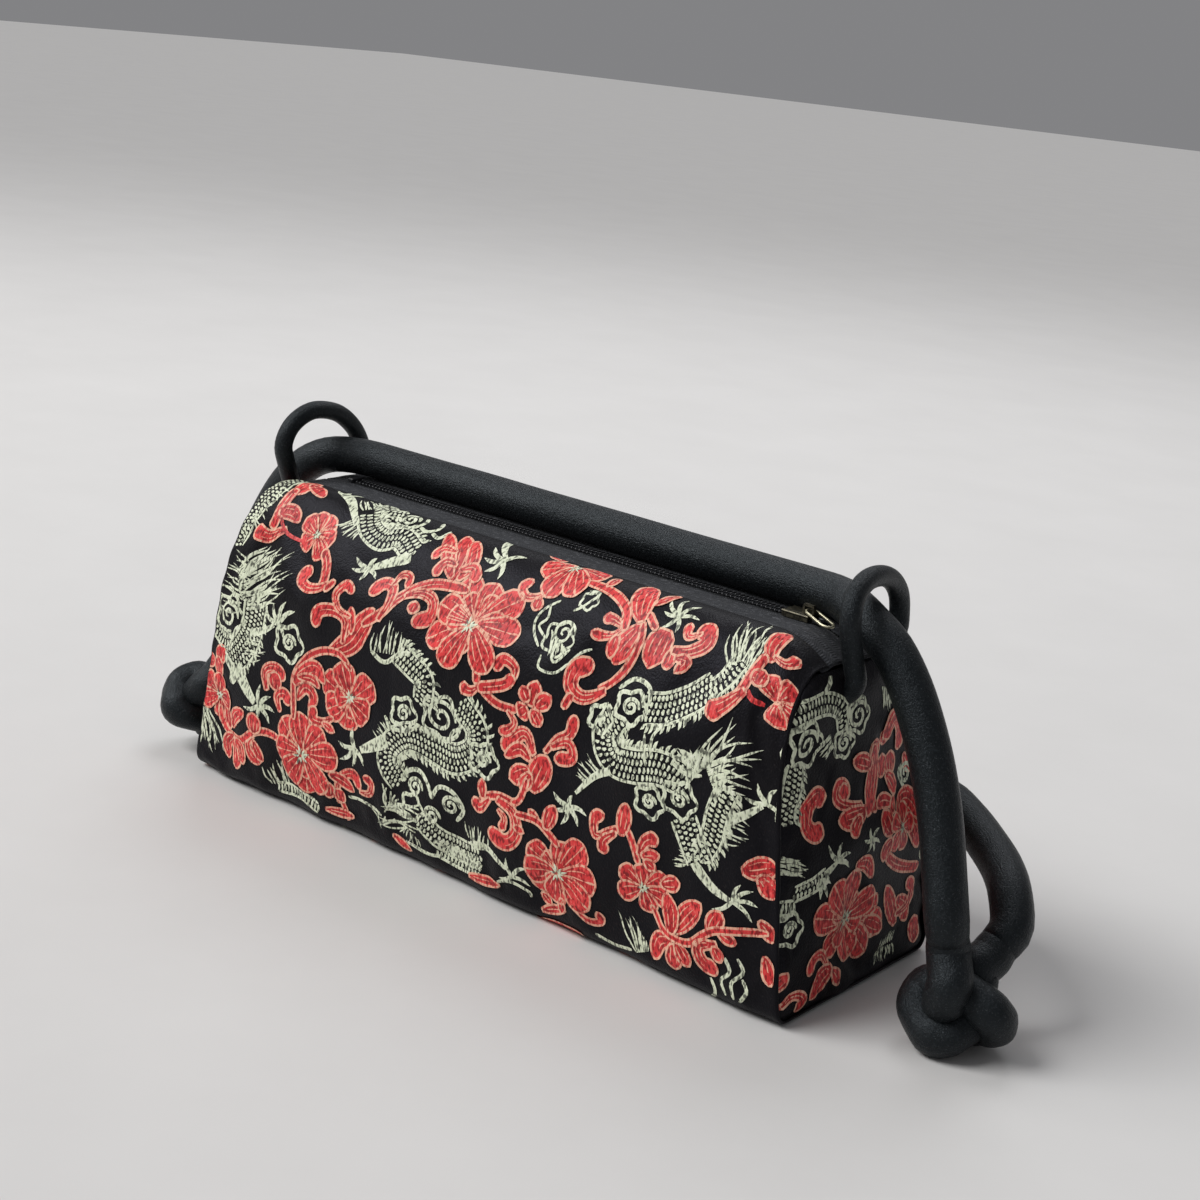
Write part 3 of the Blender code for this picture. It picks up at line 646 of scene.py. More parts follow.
def surface_and_normal(surface, first, second, step):
    """Points of a surface with their outward normals, from small steps both ways."""
    here = surface(first, second)
    along = surface(first + step[0], second) - surface(first - step[0], second)
    across = surface(first, second + step[1]) - surface(first, second - step[1])
    normal = np.cross(across, along)
    return here, normal / np.maximum(np.linalg.norm(normal, axis=-1, keepdims=True), 1e-12)


def cloth_sheet(name, points, faces, places, material, outward):
    """A sheet of cloth on a grid's faces, with its thickness inside them.

    outward gives the way out for a face's middle.
    """
    mesh = mapped_mesh(name, points, faces, places)
    bm = bmesh.new()
    bm.from_mesh(mesh)
    if sum(face.normal.dot(outward(face.calc_center_median())) for face in bm.faces) < 0:
        bmesh.ops.reverse_faces(bm, faces=bm.faces)
    bm.to_mesh(mesh)
    bm.free()
    piece = linked(name, mesh, material)
    thickness = piece.modifiers.new("thickness", "SOLIDIFY")
    thickness.thickness = CLOTH_THICKNESS
    thickness.offset = -1.0
    return piece


def wrap_piece(skin, material):
    """The brocade wrap, with its cut edges rolled in at the end seams and at the zip."""
    grid, faces = flat_grid(200, 210)
    share = grid[:, 0] * ROLLED_SHARE
    across = grid[:, 1] * ROLLED_ACROSS * HALF_WRAP
    near_share = np.clip(share, -0.998, 0.998)
    near_across = np.clip(across, -HALF_WRAP * 0.998, HALF_WRAP * 0.998)
    normal = surface_and_normal(skin.at, near_share, near_across, SKIN_STEP)[1]
    points = np.array(skin.at(share, across))
    over_end = np.clip((np.abs(share) - 1) / (ROLLED_SHARE - 1), 0, 1) * ROLL_TURN
    points[:, 0] += np.sign(share) * EDGE_ROLL * np.sin(over_end)
    points -= normal * (EDGE_ROLL * (1 - np.cos(over_end)))[:, None]
    over_fold = np.clip((np.abs(across) / HALF_WRAP - 1) / (ROLLED_ACROSS - 1), 0, 1) * ROLL_TURN
    points[:, 1] -= np.sign(across) * EDGE_ROLL * np.sin(over_fold)
    points[:, 2] -= EDGE_ROLL * (1 - np.cos(over_fold))
    piece = cloth_sheet("wrap_cloth", points, faces, np.stack([share * BASE_LENGTH / 2, across], axis=-1),
                        material, lambda middle: Vector((0, middle.y, 0)))
    return finished(piece, "bag", ("brocade_wrap",))


# End panels

PANEL_INSET = 0.0009
END_HEIGHTS = {side: BODY_HEIGHT - drop - 0.0017 for side, drop in END_DROPS.items()}


def panel_half_width(height, side):
    """The end panel's half width at a height, inside the wrap's outline."""
    crest = BODY_HEIGHT - END_DROPS[side]
    rise = np.clip((height - SHOULDER_HEIGHT) / (crest - SHOULDER_HEIGHT), 0, 1)
    shoulder = CREST_HALF_DEPTH + (HALF_DEPTH - CREST_HALF_DEPTH) * np.sqrt(1 - rise ** 2)
    drop = np.clip(1 - height / CORNER_RADIUS, 0, 1)
    corner = HALF_DEPTH - CORNER_RADIUS * (1 - np.sqrt(1 - drop ** 2))
    return np.minimum(shoulder, corner) - PANEL_INSET


def panel_form(side):
    """The end panel's outer surface before the cloth is let go, from depth and height."""
    def surface(depth, height):
        across = np.clip(1 - (depth / HALF_DEPTH) ** 2, 0, None)
        upward = np.clip(1 - (2 * height / BODY_HEIGHT - 1) ** 2, 0, None)
        flat = np.stack([depth, height], axis=-1).reshape(-1, 2)
        swell = END_SWELL * soft_noise(flat, END_SWELL_LENGTH, 5.0 + side)
        swell = swell + END_SMALL_SWELL * soft_noise(flat, END_SMALL_SWELL_LENGTH, 9.0 + side)
        to_edge = panel_half_width(height, side) - np.abs(depth)
        gap = np.minimum(to_edge, np.minimum(height, END_HEIGHTS[side] - height))
        seam = np.exp(-np.clip(gap, 0, None) / SEAM_REACH)
        ripple = np.sin(2 * math.pi * (height + 0.3 * np.abs(depth)) / PUCKER_PITCH)
        pucker = END_PUCKER_DEPTH * np.exp(-np.clip(gap, 0, None) / END_PUCKER_REACH) * ripple
        soft = np.clip(END_MEAN_SWELL + swell.reshape(depth.shape), -END_HOLLOW_LIMIT, None)
        out = END_BULGE * across * upward + soft * (1 - seam) - SEAM_SINK * seam + pucker * (gap < 0.03)
        return np.stack([side * (half_length(height) + out), depth, height], axis=-1)
    return surface


def panel_surface(side):
    """The end panel's outer surface after the cloth is let go, from depth and height."""
    shares, rises = np.meshgrid(np.linspace(-1, 1, PANEL_STATIONS), np.linspace(0, 1, PANEL_ROWS),
                                indexing="ij")
    top = END_HEIGHTS[side]
    height = rises * (top - BASE_LIFT) + BASE_LIFT
    points = panel_form(side)(shares * panel_half_width(height, side), height)
    held = np.zeros(shares.shape)
    held[[0, 1, -2, -1]] = 1
    held[:, [0, 1, -2, -1]] = 1
    points = swollen(points * (side, 1, 1), held) * (side, 1, 1)

    def surface(depth, height):
        share = np.clip(depth / panel_half_width(height, side), -1, 1)
        rise = np.clip((height - BASE_LIFT) / (top - BASE_LIFT), 0, 1)
        return read_grid(points, (share + 1) / 2 * (PANEL_STATIONS - 1), rise * (PANEL_ROWS - 1))
    return surface


def panel_piece(side, surface, material):
    """One brocade end, swollen a little between its seams."""
    grid, faces = flat_grid(70, 90)
    height = (grid[:, 1] + 1) / 2 * (END_HEIGHTS[side] - BASE_LIFT) + BASE_LIFT
    depth = grid[:, 0] * panel_half_width(height, side)
    points = surface(depth, height)
    end = "right" if side > 0 else "left"
    piece = cloth_sheet("end_cloth_" + end, points, faces, np.stack([depth, height], axis=-1), material,
                        lambda middle: Vector((side, 0, 0)))
    return finished(piece, "bag", ("end_panel_" + end,))


# Woven figures. Places on the front are (along, up the cloth from the base's corner), in millimetres.

RED_FIGURES = [
    ("leaf", 7, (-94, 120), (-95, 110)), ("leaf", 4, (-95, 117), (-90, 115), (-84, 113)),
    ("stem", 3.4, (-96, 112), (-97, 106), (-97, 100), (-98, 97)),
    ("bud", 5.5, (-97, 103), (-92, 104), (-88, 102)), ("curl", 5.5, (-91, 98), (-98, 94), (-105, 95)),
    ("stem", 1.3, (-95, 101), (-92, 98), (-88, 96.5), (-82, 96.5)),
    ("flower", 7, (-77.5, 100), (-83, 103), (-74, 104.5), (-79, 105), (-71.5, 100), (-73, 95), (-81, 97)),
    ("stem", 3.4, (-71, 96), (-67, 92), (-65.5, 87), (-66, 84.5)),
    ("curl", 4.5, (-63, 86.5), (-67, 84), (-72, 83), (-76, 84.5), (-75.5, 87.5), (-72.5, 88)),
    ("stem", 2, (-64, 84), (-61, 88)), ("leaf", 4, (-122, 61), (-121, 45)), ("disc", 3.4, (-112, 49)),
    ("disc", 3.4, (-113, 44.5)), ("disc", 2.6, (-119, 45)),
    ("flower", 7.5, (-113, 34), (-119, 38), (-112, 39), (-108, 34), (-120, 31), (-112, 29)),
    ("stem", 2.4, (-113, 30), (-111, 25), (-106, 22), (-99, 22), (-92, 27), (-86, 29), (-78, 28.5)),
    ("leaf", 4.5, (-106, 24), (-108, 28), (-108, 33)), ("leaf", 5, (-105, 25), (-102, 30), (-97, 33)),
    ("leaf", 5.5, (-104, 22), (-108, 18), (-106, 13)), ("leaf", 6, (-104, 21), (-101, 17), (-101, 11)),
    ("leaf", 5, (-103, 21), (-99, 19), (-97, 14)), ("disc", 3.6, (-91.5, 30.5)),
    ("curl", 4.6, (-92, 26), (-95, 22), (-92, 18), (-88, 19.5)),
    ("leaf", 4, (-92, 24), (-90, 21), (-87, 18)), ("curl", 5, (-86, 44), (-87, 50), (-82, 52.5), (-77, 50)),
    ("disc", 3.2, (-82, 48)), ("curl", 4.5, (-79, 38.5), (-81, 43), (-77, 45), (-74.5, 42)),
    ("stem", 2.2, (-72, 38), (-72.5, 45), (-72, 52), (-69, 58), (-65, 62), (-58, 65.5), (-51, 66),
     (-46, 62)), ("leaf", 6, (-72, 50), (-68, 55), (-62, 58), (-58, 54)),
    ("leaf", 3.2, (-70, 53), (-64, 54), (-60, 52)), ("leaf", 4, (-71, 45), (-67, 50), (-63, 48), (-65, 43)),
    ("flower", 10, (-67, 27), (-75, 34), (-69, 37), (-60, 35), (-54, 30), (-76, 26), (-73, 19), (-59, 19),
     (-66, 17)), ("flower", 7, (-67, 27), (-71, 32), (-63, 32), (-61, 25), (-71, 22), (-65, 21)),
    ("disc", 3, (-55, 18)), ("disc", 2.6, (-50, 17)),
    ("curl", 3.8, (-51, 14), (-51, 20), (-48, 25), (-43, 27), (-40, 23)),
    ("curl", 3.2, (-40, 22), (-35.5, 23), (-34.5, 27), (-38, 28)), ("stem", 2, (-50, 16), (-47, 9)),
    ("leaf", 4.5, (-54, 24), (-48, 23), (-43, 21)),
    ("flower", 10, (-46, 52), (-53, 48), (-49, 60), (-39, 58), (-41, 50), (-47, 46), (-55, 55)),
    ("flower", 7, (-46, 53), (-48, 57), (-42, 55), (-44, 49), (-50, 52)),
    ("curl", 4, (-53, 44), (-58, 41), (-63, 41), (-62, 45)), ("leaf", 3, (-58, 41), (-52, 39.5)),
    ("leaf", 9, (-56, 66), (-48, 71), (-44, 78), (-41, 84)), ("leaf", 4, (-48, 74), (-51, 82)),
    ("curl", 4.6, (-51, 70), (-52, 77), (-58, 79), (-64, 77), (-64, 72)),
    ("curl", 3.2, (-50, 79), (-56, 80), (-59, 84), (-56, 88), (-52, 86.5)),
    ("stem", 3, (-44, 78), (-37, 84), (-33, 90), (-27, 95), (-20, 98), (-8, 99)),
    ("curl", 4.6, (-38, 81), (-36, 87), (-37, 92), (-41, 92.5), (-45, 88)),
    ("curl", 3, (-38, 93), (-36, 97), (-32.5, 97), (-32, 93.5)),
    ("curl", 5, (-31, 91), (-25, 93.5), (-20, 92.5), (-19, 88), (-24, 84)), ("disc", 2, (-26, 88.5)),
    ("leaf", 6.5, (-16, 100), (-17, 108), (-22, 116)), ("leaf", 5, (-14, 101), (-12, 107), (-17, 115)),
    ("leaf", 5.5, (-17, 101), (-22, 107), (-29, 115)), ("curl", 3.4, (-20, 109), (-26, 109), (-28, 105)),
    ("curl", 3.8, (-17, 105), (-22, 105), (-24, 100)), ("curl", 4, (-15, 104), (-10, 106), (-7, 102)),
    ("flower", 9.5, (-1, 90), (-13, 92), (-8, 100), (1, 100), (10, 100), (13, 91), (-14, 83), (-6, 78),
     (8, 80)), ("flower", 8, (-1, 90), (-8, 90), (-5, 96), (3, 97), (7, 92), (5, 84), (-3, 83)),
    ("flower", 8.5, (22, 119), (15, 114), (20, 108), (28, 110), (31, 117)),
    ("leaf", 5, (15, 120), (12, 122), (8, 122)),
    ("curl", 3, (20, 108), (17.5, 104.5), (13, 103), (10, 105.5), (12.5, 108)), ("disc", 2, (18, 102)),
    ("stem", 2.6, (31, 113), (40, 112), (46, 110), (50, 107), (52, 102)), ("leaf", 3, (38, 119), (38, 113)),
    ("leaf", 8, (56, 106), (52, 113), (49, 121)), ("leaf", 3, (60, 120), (57, 112)),
    ("curl", 3, (52, 104), (50, 100), (46, 98.5), (42, 98.5)),
    ("curl", 3.6, (51, 103), (47, 104), (44, 103.5)), ("leaf", 8, (57, 105), (55, 99), (53, 92)),
    ("leaf", 4, (51, 100), (51, 93)), ("stem", 2, (57, 106), (59, 100), (58, 92), (55, 87), (50, 84)),
    ("curl", 6, (53, 84), (46, 80), (41, 82), (41, 87), (46, 90)), ("stem", 2.4, (42, 80), (40, 75)),
    ("stem", 2, (57, 109), (62, 105)), ("bud", 9, (65, 106), (65, 94)), ("leaf", 4, (70, 101), (71, 95)),
    ("curl", 6, (70, 101), (76, 102), (80, 106), (76, 111)), ("curl", 3, (77, 108), (73, 106), (71, 110)),
    ("leaf", 3.6, (72, 99), (76, 99), (74, 95)), ("stem", 2.6, (6, 79), (7, 73)),
    ("curl", 4, (8, 72), (5, 70), (1, 70.5)), ("stem", 3.5, (8, 72), (14, 74), (18, 76), (20, 79)),
    ("curl", 4, (19, 75), (20, 81), (15, 83), (13, 79)), ("stem", 2.4, (9, 72), (16, 69), (23, 69)),
    ("curl", 3.2, (20, 68), (23, 65), (21, 62), (18, 61)), ("leaf", 6, (28, 72), (29, 80)),
    ("leaf", 5.5, (30, 72), (35, 77)), ("leaf", 6, (27, 71), (24, 68)), ("leaf", 5, (29, 71), (33, 67)),
    ("leaf", 4.5, (27, 73), (24, 77)), ("curl", 5.5, (32, 58), (27, 63), (20, 56)),
    ("leaf", 4, (31, 56), (26, 58), (21, 54)), ("leaf", 9, (33, 47), (37, 59)),
    ("leaf", 6.5, (31, 53), (24, 48)), ("leaf", 5, (32, 52), (29, 46)),
    ("stem", 2, (31, 50), (29, 43), (26, 41)), ("curl", 4, (36, 60), (40, 65), (44, 68), (45, 74)),
    ("curl", 4.4, (38, 62), (44, 65), (46, 61), (40, 59)), ("stem", 2.2, (28, 41), (20, 41), (13, 38)),
    ("curl", 4, (17, 39), (13, 34.5), (10.5, 37)), ("leaf", 3.4, (14, 38), (13, 44)),
    ("curl", 6, (20, 40), (27, 38), (29, 32), (25, 27.5), (18, 29)),
    ("curl", 3, (21, 37), (24, 35), (23, 31)), ("leaf", 2.6, (28, 34), (32, 33)),
    ("stem", 2, (28, 38), (36, 38.5), (41, 36), (45, 33)), ("leaf", 5, (40, 37), (42, 45)),
    ("leaf", 3, (37, 38), (33, 41)),
    ("flower", 9.5, (45, 24), (37, 28), (36, 22), (47, 31), (52, 33), (56, 25), (54, 18), (44, 17),
     (38, 19)), ("flower", 6.5, (46, 24), (42, 28), (49, 29), (50, 22), (43, 20)),
    ("curl", 2.8, (51, 15), (57, 12), (61, 13), (60, 16)), ("leaf", 3, (38, 14), (42, 11)),
    ("leaf", 3, (47, 16), (46, 10)), ("curl", 3.8, (62, 43), (58, 41), (57, 46), (60, 48)),
    ("stem", 2, (60, 42), (65, 45), (69, 46), (72, 42), (74, 37)),
    ("curl", 4, (65, 44), (61, 40), (62, 36.5)), ("leaf", 5.5, (67, 44), (68, 54)),
    ("curl", 4.6, (74, 40), (76, 45), (80, 47)), ("leaf", 4, (75, 40), (81, 42)),
    ("leaf", 3.4, (76, 39), (80, 37)),
    ("flower", 6.5, (76, 30), (70, 27), (70, 33), (76, 35), (82, 34), (83, 29), (78, 25)),
    ("leaf", 5, (82, 33), (89, 36)),
    ("stem", 2, (79, 25), (84, 20), (90, 19), (95, 20), (99, 24), (103, 27), (110, 29), (119, 31)),
    ("leaf", 6.5, (88, 20), (87, 25), (84, 31)), ("leaf", 7, (89, 21), (93, 28), (97, 33)),
    ("leaf", 6, (88, 18), (83, 15), (82, 9)), ("leaf", 6, (89, 17), (90, 9)),
    ("leaf", 5, (90, 18), (95, 12)), ("leaf", 6, (101, 26), (104, 33)), ("leaf", 3.4, (104, 27), (110, 25)),
    ("curl", 5.6, (104, 23), (98, 20), (100, 15), (105, 15)), ("leaf", 4, (103, 22), (106, 18)),
    ("leaf", 7, (109, 47), (119, 51)), ("leaf", 6, (114, 47), (120, 42)), ("leaf", 4, (116, 34), (121, 29)),
    ("leaf", 5, (101, 107), (99, 112), (100, 119)), ("curl", 3.2, (101, 109), (105, 109), (107, 113)),
    ("stem", 2.5, (99, 108), (98, 101), (97, 96), (95, 92)), ("disc", 2.6, (100.5, 101)),
    ("curl", 6, (98, 96), (94, 91), (89, 87)), ("stem", 1.6, (98, 97), (101, 94.5), (105, 95)),
    ("flower", 7, (108, 98), (104, 101), (110, 103), (113, 98), (109, 94)),
    ("leaf", 4, (119, 24), (122, 16)), ("leaf", 3, (8, 9), (22, 11)), ("leaf", 3, (-57, 10), (-44, 11)),
    ("leaf", 2.6, (-26, 11), (-18, 8)), ("leaf", 3, (38, 8), (48, 12)),
]
GREEN_FIGURES = [
    ("band", 11, 0, (-103, 120), (-106, 111), (-111, 101), (-114, 90)),
    ("hair", 8, 1.2, 3, (-112, 94), (-108, 103), (-104, 112), (-108, 88), (-102, 98), (-98, 110)),
    ("hair", 20, 1.5, 3, (-99, 68), (-105, 73), (-108, 81), (-83, 75), (-80, 84), (-84, 93), (-97, 91)),
    ("hair", 11, 1.3, 3, (-104, 66), (-102, 74), (-101, 83), (-119, 66), (-119, 75), (-112, 87)),
    ("spiral", 1.3, 5.6, (-109, 64)), ("ring", 1.3, 7.5, (-109, 64)),
    ("band", 6, 0, (-119, 58), (-112, 55), (-106, 56)),
    ("band", 11, 1, (-96, 72), (-96, 62), (-100, 54), (-106, 48)),
    ("line", 3.4, (-109, 50), (-104, 46), (-104, 41)), ("arm", 3, (-97, 61), (-89, 64), (-84, 67)),
    ("claw", 1.9, (-82, 68), (-89, 70), (-86, 74), (-80, 76), (-75, 74), (-79, 64)),
    ("ring", 1.5, 6.4, (-76, 63)), ("spiral", 1.3, 3.2, (-76, 63)),
    ("arm", 6, (-102, 48), (-96, 42), (-91, 38)),
    ("claw", 1.8, (-89, 37.5), (-97, 35), (-91, 32), (-84, 32.5), (-82, 37), (-84, 42), (-89, 45)),
    ("hair", 6, 1.2, 2, (-98, 60), (-99, 52), (-88, 61), (-86, 54)),
    ("hair", 7, 1.7, 2, (-124, 27), (-119, 27), (-122, 11), (-109, 12)),
    ("hair", 5, 1.6, 2, (-84, 10), (-76, 12), (-88, 17), (-77, 22)),
    ("band", 3.4, 0, (-81, 10), (-70, 11), (-61, 9)), ("arm", 3.6, (-80, 118), (-72, 114), (-64, 107)),
    ("claw", 1.6, (-77, 117), (-84, 119), (-80, 121), (-74, 121)),
    ("band", 8, 1, (-63, 113), (-58, 108), (-51, 106), (-44, 108), (-37, 105)),
    ("band", 5, -1, (-62, 121), (-57, 117), (-52, 118)),
    ("hair", 7, 1.2, 2, (-66, 113), (-61, 118), (-72, 118), (-67, 121)),
    ("hair", 6, 1.3, 2, (-67, 108), (-61, 105), (-73, 104), (-62, 101)), ("spiral", 1.3, 3.6, (-47, 116)),
    ("line", 1.4, (-51, 113), (-48, 112), (-43, 113), (-41, 117), (-43, 120)),
    ("line", 1.4, (-41, 114), (-37, 113), (-34, 116), (-36, 120)),
    ("line", 1.4, (-35, 113), (-31, 112), (-29, 116)), ("arm", 4, (-36, 103), (-44, 99), (-50, 96)),
    ("claw", 1.7, (-51, 95.5), (-57, 97.5), (-56.5, 93.5), (-52, 91), (-49, 99.5), (-46, 93)),
    ("arm", 2.8, (-9, 122), (-6, 116), (-2, 112)),
    ("claw", 1.7, (-2, 111), (-9, 115), (-9, 110), (-6, 106), (0, 105), (4, 115)),
    ("hair", 9, 1.4, 3, (-38, 71), (-31, 72), (-24, 73), (-38, 78), (-31, 84), (-24, 78)),
    ("line", 1.6, (-38, 71), (-32, 69), (-26, 73), (-21, 75)),
    ("band", 8, 1, (-27, 74), (-20, 71), (-14, 68), (-14, 61)), ("ring", 1.4, 5.4, (-22, 55)),
    ("spiral", 1.2, 3, (-22, 55)), ("spiral", 1.4, 6.4, (-6, 58)), ("ring", 1.3, 7.4, (-6, 58)),
    ("line", 1.3, (-30, 52), (-26, 49), (-19, 50), (-15, 53)),
    ("band", 9, -1, (-22, 31), (-27, 37), (-26, 43), (-19, 48), (-8, 47), (2, 47), (9, 52), (9, 59),
     (2, 64)), ("line", 1.4, (-17, 53), (-8, 51), (0, 53), (3, 58)), ("ring", 1.4, 5.6, (13, 50)),
    ("spiral", 1.2, 3, (13, 50)), ("arm", 5, (-28, 44), (-35, 40), (-40, 37)),
    ("claw", 1.8, (-43, 36.5), (-50, 37), (-49, 31), (-44, 43.5), (-43.5, 30), (-38, 32)),
    ("hair", 6, 1.2, 2, (-29, 43), (-27, 49), (-36, 46), (-29, 52)), ("spiral", 1.3, 3.6, (-15, 32)),
    ("line", 1.6, (-21, 32), (-19, 36), (-14, 38), (-9, 35), (-7, 31)), ("spiral", 1.3, 3.8, (1, 31)),
    ("line", 1.6, (-7, 31), (-4, 36), (2, 36), (6, 31), (3, 26)), ("spiral", 1.3, 3.6, (-7, 25)),
    ("ring", 1.4, 4.6, (-16, 25)),
    ("hair", 10, 1.5, 3, (-12, 27), (-14, 20), (-29, 29), (-31, 22), (-28, 17)),
    ("hair", 7, 1.3, 3, (-14, 21), (-13, 16), (-35, 18), (-36, 15), (-30, 11)),
    ("line", 1.2, (-46, 18), (-38, 19), (-30, 17)),
    ("hair", 5, 1.3, 2, (-20, 17), (-14, 14), (-24, 12), (-13, 10)),
    ("band", 8, 0, (-12, 22), (-3, 17), (6, 16), (13, 17)), ("band", 5, 1, (-6, 13), (3, 12), (12, 12)),
    ("hair", 6, 1.3, 2, (8, 22), (16, 21), (6, 28), (18, 28)), ("arm", 3, (9, 20), (17, 22), (25, 18)),
    ("claw", 1.5, (27, 16), (25, 22), (33, 21), (34, 15), (22, 14)),
    ("line", 1.2, (21, 12), (26, 14), (33, 13), (34, 11)), ("line", 1.3, (-20, 11), (-12, 10), (-4, 11)),
    ("ring", 0.9, 5.6, (31, 94)), ("spiral", 1.0, 4.6, (32, 96)),
    ("hair", 9, 1.4, 2, (27, 96), (35, 92), (30, 87), (36, 90)),
    ("line", 0.9, (26, 105), (22, 102), (20, 98), (21, 94), (25, 90)),
    ("line", 0.9, (23, 103), (24, 99), (22, 96), (26, 93)), ("ring", 0.9, 3.0, (36, 107)),
    ("line", 0.9, (32, 103), (35, 105), (38, 110), (34, 110)),
    ("line", 0.9, (27, 88), (28, 84), (34, 84), (38, 88)), ("line", 0.9, (38, 88), (41, 92), (44, 94)),
    ("line", 0.9, (30, 90), (33, 87), (37, 92)),
    ("claw", 1.4, (66, 111), (60, 116), (64, 119), (61, 111), (63, 106), (68, 106), (70, 117), (73, 112)),
    ("ring", 1.4, 4.4, (54, 76)), ("disc", 1.8, (54, 76)), ("ring", 1.4, 5.2, (64, 82)),
    ("spiral", 1.2, 3, (64, 82)), ("line", 1.4, (58, 86), (62, 90), (68, 89), (70, 84)),
    ("hair", 12, 1.3, 3, (90, 101), (93, 104), (97, 102), (84, 112), (86, 119), (93, 121), (97, 113)),
    ("band", 6, 1, (93, 104), (91, 98), (88, 94)), ("band", 9, 1, (88, 95), (83, 90), (76, 85), (69, 83)),
    ("band", 10, 1, (60, 79), (57, 72), (61, 66), (69, 66), (78, 68), (87, 67)),
    ("line", 1.0, (73, 68), (71, 76)), ("line", 1.0, (75, 70), (74, 76), (78, 82)),
    ("hair", 15, 1.6, 3, (88, 66), (92, 74), (97, 68), (90, 80), (98, 89), (108, 85), (111, 75), (105, 66),
     (98, 62)), ("hair", 9, 1.4, 2, (93, 72), (97, 67), (101, 79), (104, 69)),
    ("spiral", 1.0, 2.4, (91, 75)), ("line", 1.2, (82, 71), (87, 69), (92, 70)),
    ("hair", 7, 1.3, 2, (92, 72), (88, 70), (86, 77), (80, 74)),
    ("line", 1.6, (84, 75), (88, 74), (92, 72)), ("ring", 1.3, 5, (76, 57)), ("spiral", 1.2, 2.6, (76, 57)),
    ("ring", 1.3, 5.6, (86, 61)), ("spiral", 1.2, 3.2, (86, 61)),
    ("band", 7, 1, (101, 69), (99, 61), (98, 53), (95, 47)), ("band", 9, 0, (88, 56), (91, 51), (95, 45)),
    ("arm", 3, (102, 60), (107, 63), (112, 67)),
    ("claw", 1.5, (113, 68), (106, 68), (109, 73), (115, 74), (117, 66)),
    ("hair", 6, 1.1, 2, (102, 62), (101, 54), (110, 60), (109, 54)),
    ("arm", 3.4, (93, 44), (100, 39), (106, 37)),
    ("claw", 1.4, (107, 37), (101, 33), (109, 43), (113, 42), (115, 38), (114, 33)),
    ("hair", 5, 1.1, 2, (94, 46), (90, 42), (86, 46), (85, 40)), ("arm", 2.6, (61, 62), (55, 58), (49, 51)),
    ("hair", 6, 1.1, 2, (58, 60), (52, 55), (50, 65), (47, 57)),
    ("claw", 1.7, (47, 46), (41, 49), (42, 44), (45, 40), (51, 41), (54, 45.5), (48, 50)),
    ("hair", 8, 1.2, 2, (75, 8), (79, 10), (66, 21), (74, 18), (79, 12)),
    ("line", 1.2, (73, 8), (66, 7), (59, 8)), ("line", 1.2, (108, 8), (106, 12), (109, 16), (107, 20)),
    ("line", 1.2, (111, 8), (110, 13), (113, 17), (111, 21)), ("line", 1.2, (113, 8), (115, 12), (113, 15)),
    ("line", 1.2, (101, 3), (104, 7), (102, 11)),
    ("line", 1.1, (112, 110), (117, 110), (120, 105), (118, 101)), ("spiral", 1.2, 4.4, (119, 88)),
    ("ring", 1.1, 5.6, (119, 88)), ("band", 7, 0, (116, 101), (120, 95)),
    ("band", 5, 0, (118, 80), (119, 64)), ("centre", 0.9, (-68, 26), 4.5), ("centre", 0.8, (-2, 89), 3.6),
    ("centre", 0.8, (45, 24), 4.0), ("centre", 0.8, (-46, 53), 3.0), ("centre", 0.7, (76, 30), 2.6),
    ("centre", 0.7, (-77.5, 100), 2.4), ("centre", 0.7, (-113, 34), 2.6), ("centre", 0.7, (22, 117), 3.0),
]
